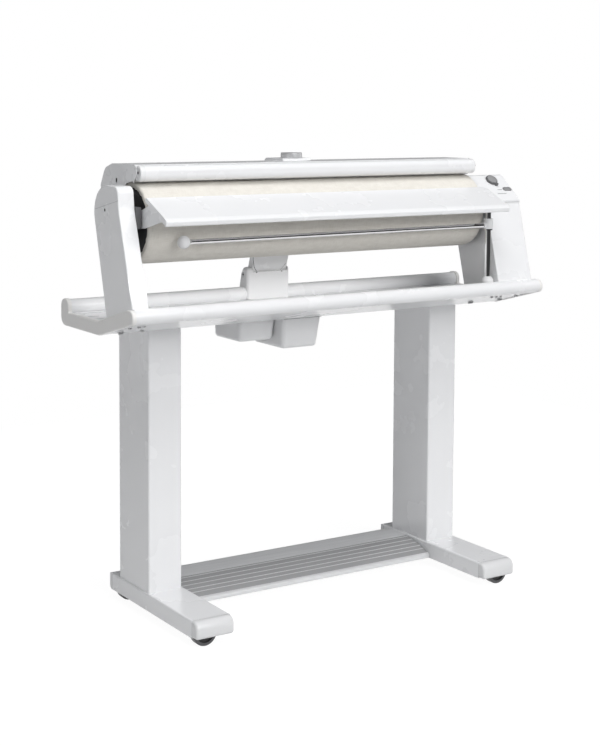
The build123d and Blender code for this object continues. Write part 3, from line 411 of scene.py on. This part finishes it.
def brushed_metal(name, color, roughness, across, metallic):
    """A metal finish drawn out along the machine."""
    material, tree, shader = new_material(name)
    drawn = add_node(tree, "ShaderNodeGroup", node_tree=brushed_lines)
    drawn.inputs["Across"].default_value = across
    low, high = [tuple(channel * gain for channel in color) for gain in (0.88, 1.06)]
    tones = add_node(tree, "ShaderNodeValToRGB")
    tones.color_ramp.elements[0].position = 0.3
    tones.color_ramp.elements[0].color = (*low, 1)
    tones.color_ramp.elements[1].position = 0.7
    tones.color_ramp.elements[1].color = (*high, 1)
    bump = add_node(tree, "ShaderNodeBump", Distance=brush_depth, Strength=1.0)
    tree.links.new(drawn.outputs["Height"], tones.inputs["Fac"])
    tree.links.new(tones.outputs["Color"], shader.inputs["Base Color"])
    tree.links.new(drawn.outputs["Height"], bump.inputs["Height"])
    tree.links.new(bump.outputs["Normal"], shader.inputs["Normal"])
    shader.inputs["Metallic"].default_value = metallic
    shader.inputs["Roughness"].default_value = roughness
    return material


tread_metal = brushed_metal("tread_metal", (0.78, 0.785, 0.795), 0.5, 1100.0, 0.3)
finish_nodes(tread_metal, "foot_rest_plate")
grip_rubber = toned_material("grip_rubber", (0.33, 0.33, 0.335), 0.62, grain=1400.0, relief=0.08, amount=0.1)
finish_nodes(grip_rubber, "foot_rest_grips")


# ---------------------------------------------------------------- tray
# A folded white sheet between two painted tubes, closed by warm light-grey moulded ends. Zinc-plated hex
# bolts and their washers show under it, where the arms and the columns are held.

def turned(profile, sides=32):
    """A shape turned about Z through pairs of radius and height, from the bottom to the top."""
    points, faces, rings = [], [], []
    for radius, height in profile:
        count = sides if radius > 0 else 1
        rings.append([len(points) + step for step in range(count)])
        for step in range(count):
            angle = 2 * math.pi * step / sides
            points.append(Vector((radius * math.cos(angle), radius * math.sin(angle), height)))
    for low, high in zip(rings, rings[1:]):
        for step in range(sides):
            following = (step + 1) % sides
            if len(low) == 1:
                faces.append((low[0], high[following], high[step]))
            elif len(high) == 1:
                faces.append((low[step], low[following], high[0]))
            else:
                faces.append((low[step], low[following], high[following], high[step]))
    return points, faces


def placed(shape, place, axis=(0, 0, 1), spin=0.0):
    """A shape moved so that its Z axis points along another axis from a place."""
    points, faces = shape
    turn = Vector((0, 0, 1)).rotation_difference(Vector(axis)).to_matrix() @ Matrix.Rotation(spin, 3, "Z")
    return [turn @ Vector(point) + Vector(place) for point in points], faces


def hex_bolt(head_r, head_h, washer_r):
    """A hexagon head on a washer, seen from its outer side, standing on Z = 0."""
    washer = turned([(0, 0), (washer_r, 0), (washer_r, 0.7), (washer_r - 0.2, 0.9), (0, 0.9)])
    head = turned([(0, 0.8), (head_r, 0.8), (head_r, head_h - 0.5), (head_r - 0.6, head_h), (0, head_h)], 6)
    return joined([washer, head])


end_grey = toned_material("end_grey", (0.8, 0.79, 0.775), 0.36, grain=900.0)
finish_nodes(powder_coat, "tray_pan", "tray_front_rail", "tray_rear_rail")
finish_nodes(end_grey, "tray_end_caps")
under_bend_y, under_level_z, under_slope = 5.7, 574.3, 0.279
machine_end = 480.0
left_bolts = ((18, -66, 4), (34, -72, 4), (44, -74, 3), (28, -8, 7), (70, -14, 4))
right_bolts = ((98, -30, 7), (25, -40, 7), (72, -84, 4), (56, -80, 3), (88, -88, 4), (10, -76, 4),
               (2, -86, 3))
bolts = []
for end_x, way, places in ((-machine_end, 1, left_bolts), (machine_end, -1, right_bolts)):
    for step, y, washer_r in places:
        z = under_level_z + max(0.0, (under_bend_y - y) * under_slope)
        down = (0, -under_slope, -1)
        bolt = hex_bolt(0.78 * washer_r, 0.9 + 0.5 * washer_r, washer_r)
        bolts.append(placed(bolt, (end_x + way * step, y, z), down, spin=0.37 * step))
add_piece("tray_hex_bolts", joined(bolts), zinc_plate, "frame", ["tray_bolts"])


# ---------------------------------------------------------------- casings under the tray
# Two satin white mouldings cover the lift gear and its motor. The larger has a flange held by two screws.

def pan_screw(radius, height):
    """A domed screw head with a small driver recess, standing on Z = 0."""
    profile = [(0, 0), (radius, 0), (radius, 0.35 * height), (0.85 * radius, 0.75 * height),
               (0.55 * radius, height), (0.36 * radius, height), (0.2 * radius, 0.35 * height),
               (0, 0.3 * height)]
    return turned(profile)


casing_white = toned_material("casing_white", (0.8, 0.803, 0.81), 0.32, grain=900.0, relief=0.04)
finish_nodes(casing_white, "lift_gear_casing", "lift_motor_casing")
iron_grey = toned_material("iron_grey", (0.2, 0.2, 0.21), 0.5, metallic=0.6, amount=0.2)
finish_nodes(iron_grey, "lift_motor")
arm_screw = (-480.0, 0.0, 810.8)
heads = [placed(pan_screw(3.2, 2.6), (22.3, y, 571.8), (0, 0, -1)) for y in (30, 104)]
heads.append(placed(pan_screw(2.9, 1.4), (arm_screw[0] + 2.4, *arm_screw[1:]), (-1, 0, 0)))
add_piece("cover_screw_heads", joined(heads), zinc_plate, "frame", ["cover_screws"])
# Near black for dark joints and washers, also used as painted shade in the arm's screw hole.
joint_washer_and_shade_dark = toned_material("joint_washer_and_shade_dark", (0.05, 0.05, 0.055), 0.7)
flange_joint = band([(24.7, y, 573.9) for y in (18.0, 70.0, 122.0)], (0, 0, 1), 0.9)
gear_joint = band([(-76.2, 7.2, 573.9), (16.9, 7.2, 573.9)], (0, 0, 1), 0.9)
add_piece("casing_joints", joined([flange_joint, gear_joint]), joint_washer_and_shade_dark, "frame")


# ---------------------------------------------------------------- lift pivot, arm and bridge
# The slotted block is moulded, and the painted arm hinges in it on a steel pin. The arm's cover ends in
# rounded tongues over the block, and a steel bridge clamps its head over the hood.

lift_lean, lift_foot = 0.364, (147.0, 658.0)


def on_lift_front(x, z, proud):
    """A point on the lift arm's leaning front face."""
    return (x, lift_foot[0] - lift_lean * (z - lift_foot[1]) - proud, z)


finish_nodes(moulded_white, "pivot_block")
finish_nodes(powder_coat, "lift_arm", "lift_bridge")
left_tongue = [(-70.2, 689.5), (-69.2, 683.5), (-67.4, 678.9), (-63.2, 667.7), (-58.6, 661.5), (-54.6, 657.8)]
right_tongue = [(14.4, 672.5), (12.9, 668.2), (8.1, 662.2), (4.3, 658.2)]
tongues = [band([on_lift_front(x, z, 0.25) for x, z in line], (1, 0, 0.35), 1.1)
           for line in (left_tongue, right_tongue)]
add_piece("lift_arm_tongues", joined(tongues), joint_washer_and_shade_dark, "shoe")
# Flat near-black patches on the block's two front notches and over the pin's end recess are painted shade.
# The same near black makes the hood's keyhole plugs.
slot_shade_and_plug_black = toned_material("slot_shade_and_plug_black", (0.012, 0.012, 0.014), 0.8)
slot_shades = []
for x, z, width, height in ((-58.8, 656.0, 3.2, 1.8), (3.8, 655.8, 3.2, 1.8)):
    slot_shades.append(band([(x, 140.3, z - height / 2), (x, 140.3, z + height / 2)], (1, 0, 0), width))
slot_shades.append(band([(-81.3, 155.6, 651.5), (-81.3, 160.4, 651.5)], (0, 0, 1), 2.6))
add_piece("pivot_block_slot_shades", joined(slot_shades), slot_shade_and_plug_black, "frame")


# ---------------------------------------------------------------- pressure knob
# A knurled aluminium hand knob on the bridge, turned on a lathe, with a fine spiral left on its top.

knob_x, knob_y, knob_low, knob_high, knob_r = -29.5, 53.0, 900.6, 911.0, 22.0
turned_metal, tree, shader = new_material("turned_metal")
where = add_node(tree, "ShaderNodeTexCoord")
centre = add_node(tree, "ShaderNodeVectorMath", operation="SUBTRACT")
centre.inputs[1].default_value = Vector((knob_x, knob_y, 0)) / 1000
rings = add_node(tree, "ShaderNodeTexWave", wave_type="RINGS", rings_direction="Z", Scale=380.0,
                 Distortion=1.2)
bump = add_node(tree, "ShaderNodeBump", Distance=0.00001, Strength=1.0)
tree.links.new(where.outputs["Object"], centre.inputs[0])
tree.links.new(centre.outputs[0], rings.inputs["Vector"])
tree.links.new(rings.outputs["Fac"], bump.inputs["Height"])
tree.links.new(bump.outputs["Normal"], shader.inputs["Normal"])
shader.inputs["Base Color"].default_value = (0.7, 0.7, 0.71, 1)
shader.inputs["Metallic"].default_value = 0.6
shader.inputs["Roughness"].default_value = 0.34


def knurled(radius, low, high, teeth, depth):
    """A hand knob with straight knurls, a chamfered rim and a shallow dish in its top."""
    points, faces = turned([(0, low), (radius - 0.8, low), (radius, low + 0.9), (radius, high - 0.9),
                            (radius - 0.8, high), (radius - 3.0, high), (radius - 3.6, high - 0.4),
                            (0, high - 0.4)], 4 * teeth)
    grooved = []
    for index, point in enumerate(points):
        reach = math.hypot(point.x, point.y)
        in_groove = (index - 1) % 4 in (0, 1)
        if in_groove and reach > radius - 0.1:
            point = Vector((point.x * (1 - depth / reach), point.y * (1 - depth / reach), point.z))
        grooved.append(point)
    return grooved, faces


hand_knob = placed(knurled(knob_r, knob_low, knob_high, 48, 0.5), (knob_x, knob_y, 0))
stem = placed(turned([(0, 873.5), (5, 873.5), (5, 901.0), (0, 901.0)]), (knob_x, knob_y, 0))
add_piece("pressure_hand_knob", joined([hand_knob, stem]), turned_metal, "pressure_knob",
          ["pressure_knob"])


# ---------------------------------------------------------------- arms
# Hollow painted arms bolted on the tray, each with a pressed top cover that leaves a fine joint. The
# right one holds the gear motor and is wider.

def seam_line(x, low, high, proud=0.12):
    """The straight joint of a cover, drawn just outside the arm's flat side."""
    return band([(x + proud, *low), (x + proud, *high)], (0, -0.3, 1), 0.8)


finish_nodes(powder_coat, "left_arm_shell", "right_arm_shell", "left_arm_cover", "control_cover")
arm_seams_and_lip_shadow = [seam_line(-480.0, (-56.2, 830.9), (43.2, 810.1), -0.12),
             seam_line(480.0, (-72.5, 801.6), (46.0, 776.7)),
             seam_line(387.0, (-72.5, 801.6), (46.0, 776.7), -0.12)]
# Under the control cover's front lip a grey band is a painted shadow line.
arm_seams_and_lip_shadow.append(band([(389.5, -73.4, 801.2), (477.5, -73.4, 801.2)], (0, 0, 1), 0.9))
add_piece("arm_cover_joints_and_lip_shadow", joined(arm_seams_and_lip_shadow), joint_and_shadow_soft_grey, "frame")
# A thin near-black disc over the screw's recess is painted shade in the hole; the screw head sits behind it.
screw_hole = turned([(0, 0), (3.0, 0), (3.0, 0.08), (0, 0.08)])
add_piece("arm_screw_hole_shade", placed(screw_hole, (-480.02, *arm_screw[1:]), (-1, 0, 0)), joint_washer_and_shade_dark, "frame")
finish_nodes(iron_grey, "gear_motor")


# ---------------------------------------------------------------- controls
# A dark turning knob with a brushed cap and a pointer tab, an oval push button with a domed face, and
# plain printed marks on the sloping panel.

panel_low, panel_high = Vector((0, -73.7, 805.8)), Vector((0, -12.7, 857.05))
panel_up = (panel_high - panel_low).normalized()
panel_out = Vector((1, 0, 0)).cross(panel_up)
dial_x, dial_up = 438.4, 61.5
button_x, button_up = 466.0, 34.0


def on_panel(shape, x, up, spin=0.0):
    """A shape stood on the sloping panel, its Y axis up the slope."""
    points, faces = shape
    frame_turn = Matrix((Vector((1, 0, 0)), panel_up, panel_out)).transposed()
    turn = frame_turn @ Matrix.Rotation(spin, 3, "Z")
    place = panel_low + Vector((x, 0, 0)) + panel_up * up
    return [turn @ Vector(point) + place for point in points], faces


def soft_slab(outline, low, high, inset):
    """A slab over an outline whose top edge is rounded in three steps."""
    count = len(outline)
    middle = Vector((sum(x for x, y in outline) / count, sum(y for x, y in outline) / count))
    levels = [(low, 0.0), (high - inset, 0.0), (high - 0.3 * inset, 0.3 * inset), (high, inset)]
    points = []
    for z, draw_in in levels:
        for x, y in outline:
            away = Vector((x, y)) - middle
            pulled = middle + away * (1 - draw_in / away.length)
            points.append(Vector((pulled.x, pulled.y, z)))
    return points, ring_walls(len(levels), count) + [tuple(range(len(points) - count, len(points)))]


def oval(length, width, steps=10):
    """The outline of a slot with round ends."""
    reach = (length - width) / 2
    outline = []
    for side, start in ((1, -90), (-1, 90)):
        for step in range(steps + 1):
            angle = math.radians(start + 180 * step / steps)
            outline.append((side * reach + width / 2 * math.cos(angle), width / 2 * math.sin(angle)))
    return outline


knob_black = toned_material("knob_black", (0.15, 0.15, 0.155), 0.36, grain=1500.0)
knob_cap = toned_material("knob_cap", (0.38, 0.38, 0.385), 0.3, grain=1500.0, metallic=0.2)
button_grey = toned_material("button_grey", (0.29, 0.29, 0.295), 0.25, grain=1500.0, coat=0.3)
print_grey = toned_material("print_grey", (0.28, 0.28, 0.29), 0.5)

dial_r = 13.5
skirt = turned([(0, -6.8), (4, -6.8), (4, 0.7), (dial_r - 0.3, 0.7), (dial_r, 1.2), (dial_r - 0.2, 3.6),
                (dial_r - 0.6, 4.8), (dial_r - 1.4, 5.5), (dial_r - 1.9, 5.0), (0, 5.0)], 48)
tab_outline = [(-3.75, -17.5), (-2.6, -18.2), (2.6, -18.2), (3.75, -17.5), (3.75, -3.0), (-3.75, -3.0)]
tab = soft_slab(tab_outline, 0.7, 5.6, 0.8)
knob_parts = [on_panel(skirt, dial_x, dial_up), on_panel(tab, dial_x, dial_up, spin=math.radians(16))]
add_piece("temperature_knob", joined(knob_parts), knob_black, "control_knob",
          ["control_knob"])
cap = turned([(0, 4.9), (dial_r - 2.0, 4.9), (dial_r - 2.2, 5.8), (dial_r - 3.2, 6.3), (0, 6.8)], 48)
add_piece("temperature_knob_cap", on_panel(cap, dial_x, dial_up), knob_cap, "control_knob")
press_face = on_panel(soft_slab(oval(21.0, 10.6), -5.5, 1.8, 1.0), button_x, button_up)
add_piece("power_push_button", press_face, button_grey, "power_button", ["power_button"])
finish_nodes(knob_black, "button_switch")

scale_steps, scale_inner, scale_outer = 13, 15.2, 16.4
scale_turns = [math.radians(80 + 10 * step) for step in range(scale_steps)]
outer_reach = [scale_outer + 0.14 * (scale_steps - 1 - step) for step in range(scale_steps)]
edge_line = list(zip(scale_turns, outer_reach)) + [(turn, scale_inner) for turn in reversed(scale_turns)]
wedge = [Vector((reach * math.cos(turn), reach * math.sin(turn), z))
         for z in (0.0, 0.12) for turn, reach in edge_line]
count = len(edge_line)
lids = [(step, count - 1 - step, count - 2 - step, step + 1) for step in range(scale_steps - 1)]
lids += [tuple(corner + count for corner in reversed(quad)) for quad in lids]
marks = [on_panel((wedge, ring_walls(2, count) + lids), dial_x, dial_up)]
for x, up, length in ((445.0, 33.0, 14.0), (443.0, 20.5, 25.0)):
    marks.append(on_panel(soft_slab(oval(length, 1.6, 4), 0.0, 0.12, 0.05), x, up))
add_piece("panel_marks", joined(marks), print_grey, "frame")


# ---------------------------------------------------------------- roller
# A steel tube on a through shaft, wrapped in felt. Its fitted cover is heavy linen-cotton cloth, stretched
# round it, with a hem that puckers where it turns over the black end discs.

roller_y, roller_z, cloth_r = -6.8, 785.05, 78.37
roller_x0, roller_x1 = -430.0, 370.0
finish_nodes(zinc_plate, "roller_core", "roller_shaft")
felt = toned_material("padding_felt", (0.6, 0.58, 0.53), 0.95, grain=500.0, relief=0.4, amount=0.15)
finish_nodes(felt, "roller_padding")

woven_threads, given, result = new_group(
    "woven_threads",
    [("Roller Radius", "NodeSocketFloat", 0.078), ("Axis", "NodeSocketVector", (0.0, 0.0, 0.0)),
     ("Threads", "NodeSocketFloat", 7000.0)],
    [("Height", "NodeSocketFloat"), ("Tone", "NodeSocketFloat")])
where = add_node(woven_threads, "ShaderNodeTexCoord")
centred = add_node(woven_threads, "ShaderNodeVectorMath", operation="SUBTRACT")
split = add_node(woven_threads, "ShaderNodeSeparateXYZ")
woven_threads.links.new(where.outputs["Object"], centred.inputs[0])
woven_threads.links.new(given.outputs["Axis"], centred.inputs[1])
woven_threads.links.new(centred.outputs[0], split.inputs[0])
angle = calculate(woven_threads, "ARCTAN2", split.outputs["Z"], split.outputs["Y"])
girth = calculate(woven_threads, "MULTIPLY", angle, given.outputs["Roller Radius"])
warp = calculate(woven_threads, "SINE",
                 calculate(woven_threads, "MULTIPLY", split.outputs["X"], given.outputs["Threads"]), 0.0)
weft = calculate(woven_threads, "SINE",
                 calculate(woven_threads, "MULTIPLY", girth, given.outputs["Threads"]), 0.0)
crossing = calculate(woven_threads, "MULTIPLY", warp, weft)
slubs = []
for along, around in ((60.0, 900.0), (900.0, 60.0), (55.0, 70.0)):
    stretched = add_node(woven_threads, "ShaderNodeCombineXYZ")
    woven_threads.links.new(calculate(woven_threads, "MULTIPLY", split.outputs["X"], along),
                            stretched.inputs["X"])
    woven_threads.links.new(calculate(woven_threads, "MULTIPLY", girth, around), stretched.inputs["Y"])
    noise = add_node(woven_threads, "ShaderNodeTexNoise", Scale=1.0, Detail=3.0)
    woven_threads.links.new(stretched.outputs[0], noise.inputs["Vector"])
    slubs.append(noise.outputs["Fac"])
both = calculate(woven_threads, "ADD", slubs[0], slubs[1])
tone = calculate(woven_threads, "ADD", both, slubs[2])
woven_threads.links.new(calculate(woven_threads, "DIVIDE", tone, 3.0), result.inputs["Tone"])
relief = calculate(woven_threads, "ADD", calculate(woven_threads, "MULTIPLY", crossing, 0.2), both)
woven_threads.links.new(relief, result.inputs["Height"])

linen, tree, shader = new_material("roller_linen")
weave = add_node(tree, "ShaderNodeGroup", node_tree=woven_threads)
weave.inputs["Roller Radius"].default_value = cloth_r / 1000
weave.inputs["Axis"].default_value = Vector((0, roller_y, roller_z)) / 1000
tones = add_node(tree, "ShaderNodeValToRGB")
tones.color_ramp.elements[0].position = 0.34
tones.color_ramp.elements[0].color = (0.66, 0.63, 0.575, 1)
tones.color_ramp.elements[1].position = 0.66
tones.color_ramp.elements[1].color = (0.795, 0.77, 0.715, 1)
bump = add_node(tree, "ShaderNodeBump", Distance=0.00014, Strength=1.0)
tree.links.new(weave.outputs["Tone"], tones.inputs["Fac"])
tree.links.new(tones.outputs["Color"], shader.inputs["Base Color"])
tree.links.new(weave.outputs["Height"], bump.inputs["Height"])
tree.links.new(bump.outputs["Normal"], shader.inputs["Normal"])
shader.inputs["Roughness"].default_value = 0.95
shader.inputs["Specular IOR Level"].default_value = 0.15
shader.inputs["Sheen Weight"].default_value = 0.15


girth_steps = 240


def cover_ring(x, radius, pucker, phase):
    """One ring of the cover, drawn in by small puckers."""
    ring = []
    for step in range(girth_steps):
        angle = 2 * math.pi * step / girth_steps
        folds = 0.5 + 0.3 * math.cos(23 * angle + phase) + 0.2 * math.cos(37 * angle + 1.9 * phase)
        reach = radius - pucker * folds
        ring.append(Vector((x, roller_y + reach * math.cos(angle), roller_z + reach * math.sin(angle))))
    return ring


def end_rings(end_x, inward, phase):
    """The cover's shoulder and drawn-in end, from the hem outward to the flat of the roller."""
    rings = []
    for radius, depth, pucker in ((68.5, 3.4, 2.0), (68.9, 1.0, 2.2), (70.5, 0.6, 2.0), (72.5, 0.4, 1.6)):
        rings.append((end_x + inward * depth, radius, pucker, phase))
    shoulder = 4.2
    for turn in (15, 35, 55, 75, 90):
        angle = math.radians(turn)
        rings.append((end_x + inward * shoulder * (1 - math.sin(math.pi / 2 - angle)),
                      cloth_r - shoulder + shoulder * math.sin(angle), 1.1 - 0.3 * turn / 90, phase))
    for depth, pucker in ((9.0, 0.6), (16.0, 0.35), (28.0, 0.15), (44.0, 0.0)):
        rings.append((end_x + inward * depth, cloth_r, pucker, phase))
    return rings


cover_rings = end_rings(roller_x0, 1, 0.4)
cover_rings += [(x, cloth_r, 0.0, 0.0) for x in range(-360, 320, 40)]
cover_rings += list(reversed(end_rings(roller_x1, -1, 2.1)))
cover_points = []
for x, radius, pucker, phase in cover_rings:
    cover_points += cover_ring(x, radius, pucker, phase)
cover_shape = (cover_points, ring_walls(len(cover_rings), girth_steps))
cover = add_piece("roller_cover_cloth", cover_shape, linen, "roller", ["roller_cloth"])
cloth_weight = cover.modifiers.new("cloth_thickness", "SOLIDIFY")
cloth_weight.thickness = 0.0008
cloth_weight.offset = -1.0


# The end discs and bearings are black plastic, and their near black is partly painted shade at the roller's
# ends.
end_black_and_shade = toned_material("end_black_and_shade", (0.016, 0.016, 0.017), 0.55, grain=900.0)
finish_nodes(end_black_and_shade, "roller_bearings")
end_disc = turned([(18.5, -3.5), (67.0, -3.5), (67.0, -0.6), (66.4, 0.0), (60.0, 0.0), (58.5, -1.2),
                   (30.0, -1.2), (28.5, 0.0), (19.0, 0.0), (18.5, -0.5), (18.5, -3.5)], 64)
end_discs = [placed(end_disc, (roller_x0 + 0.9, roller_y, roller_z), (-1, 0, 0)),
             placed(end_disc, (roller_x1 - 0.9, roller_y, roller_z), (1, 0, 0))]
add_piece("roller_end_discs", joined(end_discs), end_black_and_shade, "roller")


# ---------------------------------------------------------------- pressing shoe and hood
# The shoe is a bent aluminium plate with two rod heaters, under a painted sheet hood with flat ends.
# A black plug fills the keyhole in each end plate.

shoe_metal = brushed_metal("shoe_metal", (0.62, 0.62, 0.63), 0.28, 1400.0, 1.0)
finish_nodes(shoe_metal, "heated_shoe")
heater_dark = toned_material("heater_dark", (0.16, 0.15, 0.14), 0.45, metallic=0.8, amount=0.3)
finish_nodes(heater_dark, "heating_rods")
finish_nodes(powder_coat, "hood_cover", "hood_ends")
plug_low, plug_high, plug_y = 859.6, 868.4, 42.7
plugs = []
for x, way in ((-434.2, -1), (374.2, 1)):
    outline = [(plug_y + y, (plug_low + plug_high) / 2 + z) for z, y in oval(plug_high - plug_low, 3.8, 6)]
    plug_points, plug_faces = soft_slab(outline, 0.0, 0.7, 0.4)
    plugs.append(([Vector((x + way * point.z, point.x, point.y)) for point in plug_points], plug_faces))
add_piece("hood_plugs", joined(plugs), slot_shade_and_plug_black, "shoe")


# ---------------------------------------------------------------- finger guard
# A painted box section along the hood's front, hung on pins in its moulded ends. It tips when a hand
# touches it, and a dark washer shows round the pin.

finish_nodes(powder_coat, "guard_bar")
finish_nodes(moulded_white, "guard_caps")
washer = turned([(0, 0), (2.7, 0), (2.7, 0.2), (2.4, 0.35), (0, 0.35)])
pin_washers = [placed(washer, (-434.0, -47.0, 881.0), (-1, 0, 0)),
               placed(washer, (374.0, -47.0, 881.0), (1, 0, 0))]
add_piece("guard_pin_washers", joined(pin_washers), joint_washer_and_shade_dark, "guard")


# ---------------------------------------------------------------- feed table
# A painted sheet with a rolled lip, on painted cheeks that turn on dark moulded lugs beside the arms.

finish_nodes(powder_coat, "feed_table", "table_brackets")
lug_grey = toned_material("lug_grey", (0.12, 0.12, 0.125), 0.45, grain=1200.0)
finish_nodes(lug_grey, "table_pivots")


# ---------------------------------------------------------------- hanging rail
# A chromed post and rail with white moulded fittings. The clamp holds the rail to a collar that slides
# and turns on the post, and a white ball closes the rail's free end.

rail_chrome = toned_material("rail_chrome", (0.8, 0.8, 0.81), 0.07, metallic=1.0, relief=0.0002, amount=0.04)
finish_nodes(rail_chrome, "rail_post", "rail_collar")
finish_nodes(moulded_white, "rail_clamp", "post_foot", "post_bracket")
rail_y, rail_r = -97.0, 5.0
rail_near, rail_far = Vector((363.0, rail_y, 755.9)), Vector((-354.0, rail_y, 752.4))
rail_long = (rail_near - rail_far).length
bar = turned([(0, 0), (rail_r, 0), (rail_r, rail_long), (0, rail_long)])
add_piece("rail_rod", placed(bar, rail_far, rail_near - rail_far), rail_chrome, "rail",
          ["rail_bar"])
ball_r, ball_steps = 12.5, 24
profile = [(ball_r * math.sin(math.pi * step / ball_steps), -ball_r * math.cos(math.pi * step / ball_steps))
           for step in range(1, ball_steps)]
ball = turned([(0, -ball_r)] + profile + [(0, ball_r)], 48)
add_piece("rail_end_ball", placed(ball, rail_far + Vector((-10.5, 0, 0)), (-1, 0, 0)), moulded_white, "rail",
          ["rail_ball"])
